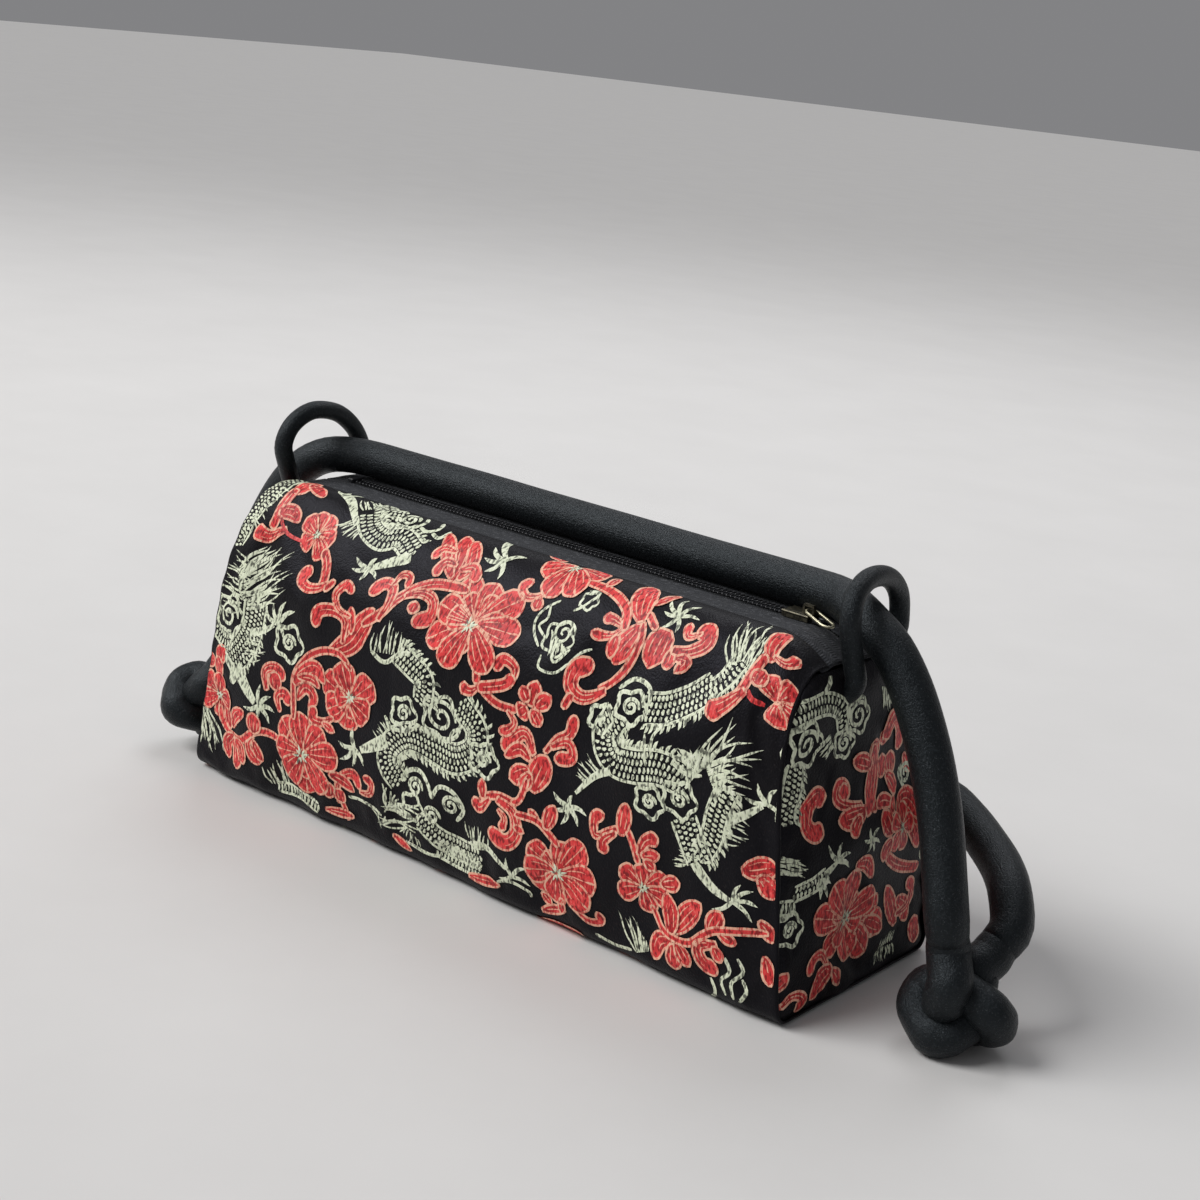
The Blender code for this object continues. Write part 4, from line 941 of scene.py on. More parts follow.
END_RED_FIGURES = [
    ("stem", 5.4, (-21, 62), (-25, 64.5), (-29, 62), (-29.5, 57), (-26, 54), (-22, 54.5)),
    ("curl", 4.6, (-4, 58), (-11, 59), (-15, 61.5), (-14, 65), (-9, 63)), ("disc", 2.4, (-11.5, 63)),
    ("leaf", 7, (-2, 56), (-8, 55), (-15, 55)), ("leaf", 5, (-5, 55), (-8, 52), (-7, 49)),
    ("leaf", 7.5, (3, 74), (3.5, 66), (2, 60), (-2, 54)), ("leaf", 5.5, (2, 68), (-3, 70), (-7, 71)),
    ("disc", 3.2, (4, 72)), ("leaf", 4, (2, 58), (5, 54)), ("disc", 3.4, (9.5, 66)),
    ("disc", 3.6, (15, 65.5)), ("leaf", 5.5, (12, 63), (15, 60), (17, 56)),
    ("leaf", 4.4, (14, 54), (9, 56), (5, 55)), ("leaf", 4, (15, 56), (13, 51)),
    ("stem", 5, (10, 74), (11, 78), (15, 80), (18, 76), (21, 69)), ("disc", 2.6, (9.5, 75)),
    ("leaf", 6.5, (14, 45), (11, 48), (9, 53)), ("leaf", 6, (14, 43), (11, 40), (10, 37)),
    ("leaf", 7.5, (17, 49), (23, 53), (28, 50), (31, 43)), ("leaf", 6, (23, 47), (28, 43), (31, 36)),
    ("flower", 6, (20, 45), (15, 48), (22, 50), (26, 45), (22, 40), (16, 41)),
    ("stem", 3.4, (12, 38), (18, 34), (25, 31), (33, 29)), ("leaf", 5, (-6, 40), (0, 39), (4, 34)),
    ("flower", 9.5, (-8, 24), (-22, 28), (-15, 34), (-7, 35), (3, 27), (9, 18), (2, 13), (-5, 14),
     (-15, 18)), ("flower", 7.5, (-8, 24), (-13, 28), (-5, 29), (-2, 22), (-11, 19)),
    ("leaf", 6, (3, 22), (9, 27)), ("leaf", 6, (3, 20), (13, 15)),
    ("leaf", 6.5, (21, 14), (18, 20), (14, 28)), ("leaf", 6.5, (21, 22), (26, 18), (28, 13)),
    ("curl", 4.4, (21, 17), (28, 18), (31, 23), (27, 25.5)),
    ("curl", 4, (-15, 11), (-19, 16), (-24, 16.5), (-27, 12.5)), ("leaf", 6, (-14, 11), (-20, 9), (-26, 5)),
    ("leaf", 4.5, (-14, 10), (-10, 5)), ("curl", 3.6, (-39, 6), (-33, 8), (-29, 6), (-32, 3)),
    ("leaf", 5, (-41, 11), (-37, 16)), ("disc", 4, (33, 9)), ("leaf", 4, (24, 66), (28, 60)),
]
END_GREEN_FIGURES = [
    ("band", 6, 0, (-36, 88), (-28, 90), (-20, 90), (-14, 87), (-12, 81)), ("spiral", 1.4, 5, (-30, 80)),
    ("ring", 1.3, 6.6, (-30, 80)), ("band", 7, 1, (-34, 75), (-36, 68), (-38, 60)),
    ("hair", 6, 1.5, 2, (-19, 81), (-17, 77), (-25, 79), (-22, 73)), ("spiral", 1.3, 4.8, (-6, 84)),
    ("ring", 1.2, 5.4, (-6, 84)), ("spiral", 1.2, 3.2, (-12, 77)), ("ring", 1.2, 4.6, (-12, 77)),
    ("hair", 6, 1.6, 2, (7, 90), (12, 89), (8, 82), (13, 82)),
    ("hair", 6, 1.5, 2, (-40, 45), (-39, 50), (-29, 42), (-30, 47)),
    ("band", 5, 0, (-34, 38), (-27, 39), (-21, 41)), ("arm", 2.6, (-22, 41), (-18, 43), (-16, 44)),
    ("claw", 1.7, (-16, 44), (-20, 49.5), (-14, 49), (-10, 45), (-10, 40.5)),
    ("claw", 1.6, (-25, 40), (-19, 38), (-20, 34), (-23, 34)), ("band", 4, 0, (-40, 35), (-34, 34)),
    ("ring", 1.3, 5, (-36, 28)), ("spiral", 1.2, 2.8, (-36, 28)),
    ("claw", 1.4, (1, 46), (-3, 47), (0, 50), (5, 49), (6, 44), (3, 42), (-1, 42.5)),
    ("spiral", 1.3, 3.6, (25, 60)), ("line", 1.4, (25, 64), (21, 61), (24, 56), (28, 54)),
    ("line", 1.8, (-25, 102), (-20, 101), (-17.5, 97), (-21, 93)),
    ("band", 8, 1, (20, 86), (28, 80), (32, 72)), ("hair", 7, 1.4, 2, (12, 8), (20, 8), (10, 3), (22, 3)),
    ("hair", 6, 1.3, 2, (13, 8), (20, 9), (14, 12), (22, 13)), ("line", 1.2, (-10, 94), (-5, 92), (-1, 94)),
    ("centre", 0.9, (-8, 24), 4.5), ("centre", 0.8, (20, 45), 2.6),
    ("band", 5, 0, (37, 60), (38, 50), (38, 40)), ("spiral", 1.2, 3.4, (36, 33)),
]
PATTERN_REPEAT = 197.0
PATTERN_RISE = 192.5
BASE_SHIFT = (61.0, -94.0)
LEFT_END_SHIFT = (8.0, -2.0)
FIGURE_BASE = 0.06
FIGURE_STEP = 0.036
FIGURE_CYCLE = 8
PALE_STEP = 0.02
OUTLINE_WIDTH = 0.72
OUTLINE_LIFT = 0.020
DOME_HEIGHT = 0.012
VEIN_WIDTH = 0.42
CENTRE_HEIGHT = 0.40
PROFILES = {
    "even": ((0, 1.0), (1, 1.0)),
    "bead": ((0, 0.55), (0.25, 0.95), (0.5, 1.0), (0.75, 0.95), (1, 0.55)),
    "stem": ((0, 0.5), (0.06, 0.95), (0.5, 1.0), (0.94, 0.95), (1, 0.5)),
    "arm": ((0, 0.8), (0.1, 1.0), (0.6, 0.75), (1, 0.45)),
    "claw": ((0, 0.8), (0.3, 1.0), (0.75, 0.75), (1, 0.1)),
    "hair": ((0, 0.6), (0.3, 1.0), (0.8, 0.7), (1, 0.08)),
    "leaf": ((0, 0.30), (0.2, 0.75), (0.5, 1.0), (0.75, 0.85), (0.92, 0.5), (1, 0.06)),
    "petal": ((0, 0.25), (0.25, 0.62), (0.6, 1.0), (0.82, 0.95), (0.94, 0.62), (1, 0.15)),
    "bud": ((0, 0.40), (0.2, 0.9), (0.5, 1.0), (0.8, 0.75), (0.95, 0.3), (1, 0.05)),
    "curl": ((0, 0.35), (0.3, 0.60), (0.65, 0.80), (0.85, 1.0), (0.96, 0.75), (1, 0.25)),
    "disc": ((0, 0.12), (0.1, 0.60), (0.25, 0.87), (0.5, 1.0), (0.75, 0.87), (0.9, 0.60), (1, 0.12)),
}


def along_line(points, share):
    """A place at a share of the way along straight lines."""
    points = np.asarray(points, float)
    travelled = np.concatenate([[0], np.cumsum(np.linalg.norm(np.diff(points, axis=0), axis=1))])
    spot = share * travelled[-1]
    return np.array([np.interp(spot, travelled, points[:, 0]), np.interp(spot, travelled, points[:, 1])])


def hair_strokes(count, split, points):
    """Strokes from the line through the first points to the line through the others, bent a little."""
    roots, tips = points[:split], points[split:]
    count = round(count * 1.35)
    for index in range(count):
        share = index / (count - 1)
        root, tip = along_line(roots, share), along_line(tips, share)
        away = tip - root
        bend = np.array([-away[1], away[0]]) * (0.10 * math.sin(2.4 * index + 1))
        length = 0.86 + 0.14 * math.sin(5.1 * index)
        yield [root, root + away * 0.5 * length + bend, root + away * length]


def band_strokes(width, spikes, points):
    """A scaled body: two edges, rows of short curved scales, and spikes along one side."""
    line = smooth_line(points, spacing=1.55)
    tangent = np.gradient(line, axis=0)
    tangent /= np.linalg.norm(tangent, axis=1, keepdims=True)
    normal = np.stack([-tangent[:, 1], tangent[:, 0]], axis=1)
    half = width / 2
    for side in (-1, 1):
        yield 1.0, "stem", list(line + side * half * normal)
    rows = max(1, round((width - 1.2) / 2.0))
    for index, (place, ahead, out) in enumerate(zip(line, tangent, normal)):
        for row in range(rows):
            low = (row / rows * 2 - 1) * half * 0.88
            high = ((row + 1) / rows * 2 - 1) * half * 0.88
            start = place + ahead * (0.75 * (row % 2)) + out * (low + 0.22)
            end = place + ahead * (0.75 * (row % 2) + 0.35 * spikes) + out * (high - 0.22)
            yield 1.05, "bead", [start, (start + end) / 2 + 0.22 * ahead, end]
        if spikes:
            root = place + out * spikes * half
            reach = 2.6 if index % 3 else 1.5
            yield 1.2, "hair", [root, root + out * spikes * reach * 0.6 + ahead * 0.5,
                                root + out * spikes * reach + ahead * 1.4]


def round_stroke(kind, radius, centre):
    """A spiral, or the scalloped ring of a cloud."""
    turns = np.linspace(0, 2 * math.pi, 25) if kind == "ring" else np.linspace(0, 3.4 * math.pi, 26)
    if kind == "ring":
        reach = radius * (1 + 0.14 * np.cos(5 * turns))
    else:
        reach = radius * (1 - 0.85 * turns / turns[-1])
    along = centre[0] + reach * np.cos(turns)
    up = centre[1] + reach * np.sin(turns) * 0.9
    return list(np.stack([along, up], axis=1))


def green_strokes(figure):
    """The strokes of one pale figure, as width, profile and points."""
    kind, width, *rest = figure
    if kind == "band":
        yield from band_strokes(width, rest[0], rest[1:])
    elif kind == "hair":
        for points in hair_strokes(width, rest[1], rest[2:]):
            yield rest[0] * 0.55, "hair", points
    elif kind == "centre":
        middle = np.array(rest[0], float)
        for index in range(9):
            turn = 2.4 * index
            ragged = 0.6 + 0.4 * math.sin(3.3 * index) ** 2
            away = np.array((math.cos(turn), math.sin(turn))) * rest[1] * ragged
            yield width, "hair", [middle + 0.2 * away, middle + 0.6 * away, middle + away]
    elif kind == "claw":
        centre = np.array(rest[0], float)
        for tip in rest[1:]:
            away = np.array(tip, float) - centre
            bend = np.array([-away[1], away[0]]) * 0.12
            yield width, "claw", [centre, centre + away * 0.55 + bend, centre + away]
    elif kind in ("spiral", "ring"):
        yield width, "stem", round_stroke(kind, rest[0], rest[1])
    elif kind == "disc":
        yield 2 * width, "disc", [(rest[0][0] - width, rest[0][1]), (rest[0][0] + width, rest[0][1])]
    else:
        yield width, "stem" if kind == "line" else kind, rest


def red_shapes(figure):
    """The filled shapes of one red figure, as width, profile and points."""
    kind, width, *points = figure
    if kind == "disc":
        x, up = points[0]
        yield 2 * width, "disc", [(x, up - width), (x, up + width)]
    elif kind == "flower":
        centre = np.array(points[0], float)
        for tip in points[1:]:
            away = np.array(tip, float) - centre
            reach = away / np.linalg.norm(away)
            tip_end = centre + away + 0.38 * width * reach
            yield width, "petal", [centre + 0.12 * away, centre + 0.6 * away, tip_end]
    else:
        yield width, kind, points


class Figures:
    """Raised figures of woven thread on one surface, gathered into one mesh for each thread."""

    def __init__(self, name, surface, shift=(0.0, 0.0), keep=None):
        self.name = name
        self.surface = surface
        self.shift = np.array(shift)
        self.keep = keep
        self.parts = {"red": [], "outline": [], "pale": []}
        self.drawn = 0

    def strip(self, thread, points, width, profile, height, dome, shade=0.5, grow=0.0, spacing=1.25):
        """One strip of thread along the smooth line through points. Widths and heights are millimetres."""
        line = smooth_line(points, spacing=spacing)
        tangent = np.gradient(line, axis=0)
        tangent /= np.maximum(np.linalg.norm(tangent, axis=1, keepdims=True), 1e-9)
        if grow:
            line[0] -= tangent[0] * grow
            line[-1] += tangent[-1] * grow
        share = np.linspace(0, 1, len(line))
        stops = np.array(PROFILES[profile])
        half = width / 2 * np.interp(share, stops[:, 0], stops[:, 1]) + grow
        columns = int(np.clip(math.ceil(width / 1.7), 2, 8))
        grid, faces = flat_grid(len(line) - 1, columns)
        station = np.round((grid[:, 0] + 1) / 2 * (len(line) - 1)).astype(int)
        out = grid[:, 1]
        normal = np.stack([-tangent[:, 1], tangent[:, 0]], axis=1)
        places = line[station] + normal[station] * (out * half[station])[:, None]
        crown = np.sqrt(np.clip(1 - out ** 2, 0, 1))
        level = height + dome * crown * np.clip(half[station] / (width / 2), 0, 1)
        tone = np.clip(shade + 0.40 * out ** 2 + 0.36 * share[station] - 0.30, 0, 1)
        self.parts[thread].append((places + self.shift, level, tone, faces))

    def wanted(self, points):
        if self.keep is None:
            return True
        return self.keep(np.mean(np.asarray(points, float), axis=0) + self.shift)

    def draw_red(self, figures):
        for figure in figures:
            for width, profile, points in red_shapes(figure):
                if not self.wanted(points):
                    continue
                self.drawn += 1
                level = FIGURE_BASE + FIGURE_STEP * (self.drawn % FIGURE_CYCLE)
                shade = 0.30 + 0.30 * math.sin(self.drawn * 1.7) ** 2
                self.strip("red", points, width, profile, level, DOME_HEIGHT, shade)
                self.draw_edge_and_veins(points, width, profile, level + OUTLINE_LIFT)
                if figure[0] == "flower" and width >= 8:
                    self.notch_petal(points, level + OUTLINE_LIFT)

    def draw_edge_and_veins(self, points, width, profile, level):
        """The pale thread round a petal or leaf, and those that run along it."""
        line = smooth_line(points, spacing=1.1)
        tangent = np.gradient(line, axis=0)
        tangent /= np.linalg.norm(tangent, axis=1, keepdims=True)
        normal = np.stack([-tangent[:, 1], tangent[:, 0]], axis=1)
        stops = np.array(PROFILES[profile])
        half = width / 2 * np.interp(np.linspace(0, 1, len(line)), stops[:, 0], stops[:, 1])
        left = line + normal * half[:, None]
        right = line - normal * half[:, None]
        if width < 1.8:
            return
        edge = np.vstack([left, right[::-1], left[:1]])
        self.strip("outline", edge, OUTLINE_WIDTH, "even", level, DOME_HEIGHT, spacing=1.0)
        if len(line) < 5 or width < 3:
            return
        first = max(1, round(len(line) * 0.15))
        last = max(first + 3, round(len(line) * 0.78))
        spots = (0.0,) if width < 5 else ((-0.40, 0.40) if width < 7 else (-0.55, 0.0, 0.55))
        for spot in spots:
            vein = (line + normal * (spot * half)[:, None])[first:last]
            if len(vein) >= 3:
                self.strip("outline", vein, VEIN_WIDTH, "hair", level - 0.004, 0.010)

    def notch_petal(self, points, level):
        """The split in a peony petal's outer edge."""
        end = np.asarray(points[-1], float)
        away = end - np.asarray(points[0], float)
        split = [end - away * 0.02, end - away * 0.16, end - away * 0.30]
        self.strip("outline", split, OUTLINE_WIDTH * 1.1, "hair", level, DOME_HEIGHT)

    def draw_pale(self, figures):
        for figure in figures:
            for width, profile, points in green_strokes(figure):
                if self.wanted(points):
                    self.drawn += 1
                    level = FIGURE_BASE + 0.01 + PALE_STEP * (self.drawn % FIGURE_CYCLE)
                    level = CENTRE_HEIGHT if figure[0] == "centre" else level
                    self.strip("pale", points, width, profile, level, 0.06, 0.5, spacing=1.0)

    def pieces(self, materials):
        """Lays every strip on the surface and makes one object for each thread."""
        for thread, parts in self.parts.items():
            if not parts:
                continue
            places = np.vstack([part[0] for part in parts])
            level = np.concatenate([part[1] for part in parts])
            tone = np.concatenate([part[2] for part in parts])
            starts = np.cumsum([0] + [len(part[0]) for part in parts[:-1]])
            faces = np.vstack([part[3] + start for part, start in zip(parts, starts)])
            points, normal, uvs, inside = self.surface(places)
            points = points + normal * (level * MM)[:, None]
            faces = faces[inside[faces].any(axis=1)]
            corners = points[faces]
            facing = np.cross(corners[:, 2] - corners[:, 0], corners[:, 3] - corners[:, 1])
            area = np.linalg.norm(facing, axis=1)
            faces, facing = faces[area > 1e-10], facing[area > 1e-10]
            away = (facing * normal[faces[:, 0]]).sum(axis=1) < 0
            faces[away] = faces[away][:, ::-1]
            used, packed = np.unique(faces, return_inverse=True)
            mesh = mapped_mesh(f"{thread}_thread_{self.name}", points[used], packed.reshape(faces.shape),
                               uvs[used], {"shade": tone[used]})
            finished(linked(mesh.name, mesh, materials[thread]), "bag")


def wrap_surface(skin):
    """Lays figure places (along, up the front's cloth) on the wrap."""
    def surface(places):
        across = -(places[:, 1] * MM + FLAT_HALF)
        limit = HALF_WRAP - 0.0006
        held = np.clip(across, -limit, limit)
        height = np.interp(np.abs(held), SECTION[0], SECTION[2])
        reach = half_length(height)
        share = np.clip(places[:, 0] * MM / reach, -0.997, 0.997)
        inside = (np.abs(across) < limit) & (np.abs(places[:, 0] * MM / reach) < 0.997)
        points, normal = surface_and_normal(skin.at, share, held, SKIN_STEP)
        return points, normal, np.stack([share * BASE_LENGTH / 2, held], axis=-1), inside
    return surface


def end_surface(side, panel):
    """Lays figure places (depth, height) on an end, seen from outside."""
    def surface(places):
        height = np.clip(places[:, 1] * MM, 0.0022, END_HEIGHTS[side] - 0.0012)
        limit = panel_half_width(height, side) - 0.0008
        depth = np.clip(places[:, 0] * MM * side, -limit, limit)
        inside = (np.abs(places[:, 0] * MM) < limit) & (np.abs(places[:, 1] * MM - height) < 1e-6)
        points, normal = surface_and_normal(panel, depth, height, PANEL_STEP)
        normal *= np.where(normal[:, :1] * side < 0, -1.0, 1.0)
        return points, normal, np.stack([depth, height], axis=-1), inside
    return surface


def on_repeat(shift, low, high):
    """Keeps a figure once in each repeat of the pattern, and only between two heights of the cloth."""
    def keep(place):
        return abs(place[0] - shift) <= PATTERN_REPEAT / 2 and low <= place[1] <= high
    return keep


def draw_pattern(skin, panels, materials):
    """The woven dragons, clouds and peonies of the front, and their repeats on the other sides."""
    laid = wrap_surface(skin)
    front = Figures("front", laid)
    front.draw_red(RED_FIGURES)
    front.draw_pale(GREEN_FIGURES)
    front.pieces(materials)
    rear_low = -(HALF_WRAP + FLAT_HALF) / MM
    rear_high = -2 * FLAT_HALF / MM - 1
    back = Figures("back", laid)
    base = Figures("base", laid)
    for sheet, offset, low, top in ((back, (98.5, -PATTERN_RISE), rear_low, rear_high),
                                    (base, BASE_SHIFT, -70.0, -1.5)):
        for repeat in (0, -PATTERN_REPEAT):
            sheet.shift = np.array((offset[0] + repeat, offset[1]))
            sheet.keep = on_repeat(offset[0] + repeat, low, top)
            sheet.draw_red(RED_FIGURES)
            sheet.draw_pale(GREEN_FIGURES)
        sheet.pieces(materials)
    right = Figures("right_end", end_surface(1, panels[1]))
    right.draw_red(END_RED_FIGURES)
    right.draw_pale(END_GREEN_FIGURES)
    right.pieces(materials)

    def on_left_end(place):
        inside = 3 < place[1] < END_HEIGHTS[-1] / MM - 2
        return inside and abs(place[0]) < panel_half_width(place[1] * MM, -1) / MM - 1

    left = Figures("left_end", end_surface(-1, panels[-1]), LEFT_END_SHIFT, on_left_end)
    left.draw_red(RED_FIGURES)
    left.draw_pale(GREEN_FIGURES)
    left.pieces(materials)


# Zip

def tape_piece(side, material):
    """One tape, from its woven edge at the teeth to under the brocade's fold."""
    half = "front" if side < 0 else "back"
    grid, faces = flat_grid(160, 14)
    share = grid[:, 0] * 1.004
    inner, outer = ZIP_SLIT / 2, FOLD_EDGE + TAPE_TUCK
    depth = inner + (outer - inner) * (grid[:, 1] + 1) / 2
    height = TAPE_TOP - crest_drop(np.clip(share, -1, 1))
    flat = np.stack([share * TOP_LENGTH / 2, side * depth], axis=-1)
    free = np.clip((depth - inner - SLIDER_REACH) / 0.004, 0, 1) * np.clip((FOLD_EDGE - depth) / 0.003, 0, 1)
    height += free * (TAPE_LIFT + TAPE_SWELL * soft_noise(flat, 0.02, 2.2))
    points = np.stack([share * half_length(height), side * depth, height], axis=-1)
    piece = cloth_sheet("tape_weave_" + half, points, faces, flat, material, lambda middle: Vector((0, 0, 1)))
    return finished(piece, "bag", ("zip_tape_" + half,))


def carried_frames(path):
    """Two directions across a path at each of its points, carried along it without twist."""
    tangents = np.gradient(path, axis=0)
    tangents /= np.linalg.norm(tangents, axis=1, keepdims=True)
    up = np.array([0.0, 0.0, 1.0]) if abs(tangents[0, 2]) < 0.9 else np.array([1.0, 0.0, 0.0])
    first = np.cross(up, tangents[0])
    frames = [first / np.linalg.norm(first)]
    for tangent in tangents[1:]:
        carried = frames[-1] - tangent * np.dot(frames[-1], tangent)
        frames.append(carried / np.linalg.norm(carried))
    frames = np.array(frames)
    return frames, np.cross(tangents, frames)


def tube_mesh(name, path, radius, sides, squash=None):
    """A closed tube round a path, rolled from a flat grid, with UV along it and round it.

    squash gives each ring's own radius.
    """
    path = np.asarray(path, float)
    count = len(path)
    frames, others = carried_frames(path)
    angles = np.linspace(0, 2 * math.pi, sides + 1)
    radii = np.full((count, sides + 1), radius) if squash is None else squash(count, angles) * radius
    length = np.concatenate([[0], np.cumsum(np.linalg.norm(np.diff(path, axis=0), axis=1))])
    bm = bmesh.new()
    layer = bm.loops.layers.uv.new("cloth")
    bmesh.ops.create_grid(bm, x_segments=count - 1, y_segments=sides, size=1.0)
    spots = [(round((vertex.co.x + 1) / 2 * (count - 1)), round((vertex.co.y + 1) / 2 * sides))
             for vertex in bm.verts]
    bm.verts.index_update()
    for face in bm.faces:
        for loop in face.loops:
            ring, turn = spots[loop.vert.index]
            loop[layer].uv = (length[ring], turn / sides)
    for vertex, (ring, turn) in zip(bm.verts, spots):
        across = math.cos(angles[turn]) * frames[ring] + math.sin(angles[turn]) * others[ring]
        vertex.co = path[ring] + radii[ring, turn] * across
    bmesh.ops.remove_doubles(bm, verts=bm.verts, dist=1e-7)
    bmesh.ops.holes_fill(bm, edges=bm.edges, sides=0)
    bmesh.ops.recalc_face_normals(bm, faces=bm.faces)
    mesh = bpy.data.meshes.new(name)
    bm.to_mesh(mesh)
    bm.free()
    return mesh


def coil_piece(side, material):
    """One row of teeth: a nylon thread wound in flattened turns along the tape's edge."""
    half = "front" if side < 0 else "back"
    turns = math.floor((TEETH_HIGH.x - TEETH_LOW.x) / TOOTH_PITCH)
    wound = np.linspace(0, turns, turns * COIL_STEPS + 1)
    angle = 2 * math.pi * wound
    middle = side * (ZIP_SLIT / 2 + COIL_MIDDLE)
    path = np.stack([TEETH_LOW.x + TOOTH_PITCH * wound,
                     middle - side * COIL_HALF_WIDTH * np.cos(angle),
                     TEETH_LOW.z + COIL_RISE + COIL_HALF_HEIGHT * np.sin(angle)], axis=-1)
    mesh = tube_mesh("zip_coil_" + half, path, COIL_THREAD / 2, sides=6)
    return finished(linked("zip_coil_" + half, mesh, material), "bag", ("zip_teeth_" + half,))


def pull_piece(material):
    """The worn oval ring in the slider's bridge, round in section."""
    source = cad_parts["zip_pull"]
    bm = bmesh.new()
    bm.from_mesh(source.data)
    bmesh.ops.remove_doubles(bm, verts=bm.verts, dist=1e-6)
    bmesh.ops.dissolve_limit(bm, angle_limit=math.radians(1), verts=bm.verts, edges=bm.edges)
    sharp = [edge for edge in bm.edges if edge.is_manifold and edge.calc_face_angle(0) > math.radians(50)]
    bmesh.ops.bevel(bm, geom=sharp, offset=PULL_ROUNDING, segments=3, profile=0.5, affect="EDGES",
                    material=-1)
    mesh = bpy.data.meshes.new("pull_ring")
    bm.to_mesh(mesh)
    bm.free()
    return finished(linked("pull_ring", mesh, material), "pull", ("zip_pull",))


# Cords

def soft_squash(seed, depth, along_pitch, calm=0, dip=0.0):
    """Ring radii of a slightly uneven stuffed cord. It is even and dips in over its first and last rings."""
    def shape(count, angles):
        from_end = np.minimum(np.arange(count), np.arange(count)[::-1])
        strength = depth * np.clip(from_end / calm - 0.5, 0, 1)[:, None] if calm else depth
        tapered = 1 - dip * np.clip(1 - from_end / max(calm * 0.5, 1), 0, 1)[:, None] ** 1.5
        rows = np.arange(count) * along_pitch
        places = np.array([(row, math.cos(angle), math.sin(angle)) for row in rows for angle in angles])
        uneven = np.array([noise.noise(Vector((place[0], place[1] * 0.8 + seed, place[2] * 0.8)))
                           for place in places])
        return tapered * (1 + strength * uneven.reshape(count, len(angles)))
    return shape


def knot_flat_points():
    """One overhand knot in its own plane, side exit to top exit, as (across, up, towards) points."""
    side = Vector(KNOT_SIDE_EXIT)
    points = [side, side - KNOT_STUB * Vector(KNOT_SIDE_DIRECTION)]
    steps = 40
    for step in range(steps + 1):
        turn = math.pi + KNOT_OPENING + (2 * math.pi - 2 * KNOT_OPENING) * step / steps
        points.append(Vector((KNOT_SPREAD * (math.sin(turn) + 2 * math.sin(2 * turn)),
                              KNOT_SPREAD * (2 * math.cos(2 * turn) - math.cos(turn)),
                              KNOT_DEPTH * math.sin(3 * turn))))
    top = Vector(KNOT_TOP_EXIT)
    points += [top - KNOT_STUB * Vector(KNOT_TOP_DIRECTION), top]
    return points


def knot_frame(place, turn):
    """The matrix that stands a flat knot on the floor at a place, turned in its own plane."""
    across = Vector((math.cos(KNOT_FACING), math.sin(KNOT_FACING), 0.0))
    towards = Vector((math.sin(KNOT_FACING), -math.cos(KNOT_FACING), 0.0))
    axes = Matrix((across, Vector((0.0, 0.0, 1.0)), towards)).transposed()
    turned = axes @ Matrix.Rotation(turn, 3, "Z")
    lowest = min((turned @ point).z for point in knot_flat_points())
    height = KNOT_FLOOR_GAP + KNOT_CORD_DIAMETER / 2 - lowest
    return Matrix.Translation((*place, height)) @ turned.to_4x4()


def knot_exit(place, turn, flat_exit, flat_direction):
    """A strand's end a gap off the knot, and the point where it has left the knot straight."""
    stand = knot_frame(place, turn)
    outward = Vector(flat_direction).normalized()
    start = Vector(flat_exit) + KNOT_EXIT_GAP * outward
    return [tuple(stand @ start), tuple(stand @ (start + HANDLE_LEAD * outward))]


def knot_piece(name, node, knot, material):
    """A pulled-tight overhand knot: the rope's own turns, pressed together."""
    stand = knot_frame(*knot)
    flat = knot_flat_points()
    first = flat[0] + KNOT_OVERLAP * Vector(KNOT_SIDE_DIRECTION)
    last = flat[-1] + KNOT_OVERLAP * Vector(KNOT_TOP_DIRECTION)
    path = smooth_line([stand @ point for point in [first] + flat + [last]], spacing=KNOT_POINT_SPACING)
    uneven = soft_squash(seed=4.0, depth=0.12, along_pitch=0.30, calm=12, dip=0.14)
    mesh = tube_mesh(name, path, KNOT_SOFT_DIAMETER / 2, sides=28, squash=uneven)
    for vertex in mesh.vertices:
        vertex.co.z = max(vertex.co.z, KNOT_LOWEST)
    return finished(linked(name, mesh, material), "bag", (node,))


def strand_piece(name, node, route, material):
    """One run of the rope handle, a free cord between the two knots."""
    path = smooth_line(route, spacing=ROPE_SPACING)
    uneven = soft_squash(seed=1.0, depth=0.035, along_pitch=0.09, calm=5, dip=0.08)
    mesh = tube_mesh(name, path, ROPE_DIAMETER / 2, sides=36, squash=uneven)
    piece = finished(linked(name, mesh, material), "bag", (node,))
    return piece


def loop_piece(name, node, route, side, material):
    """A thin cord loop whose ends are sewn into the bag's seams."""
    start = tuple(here + step for here, step in zip(route[0], LOOP_SEWN_START))
    end = tuple(here + step for here, step in zip(route[-1], LOOP_SEWN_END))
    places = [(side * (TOP_LENGTH / 2 + out), depth, BODY_HEIGHT + up)
              for out, depth, up in [start] + route + [end]]
    path = smooth_line(places, spacing=LOOP_SPACING)
    uneven = soft_squash(seed=2.0, depth=0.03, along_pitch=0.12)
    mesh = tube_mesh(name, path, LOOP_DIAMETER / 2, sides=24, squash=uneven)
    return finished(linked(name, mesh, material), "bag", (node,))


# The stage

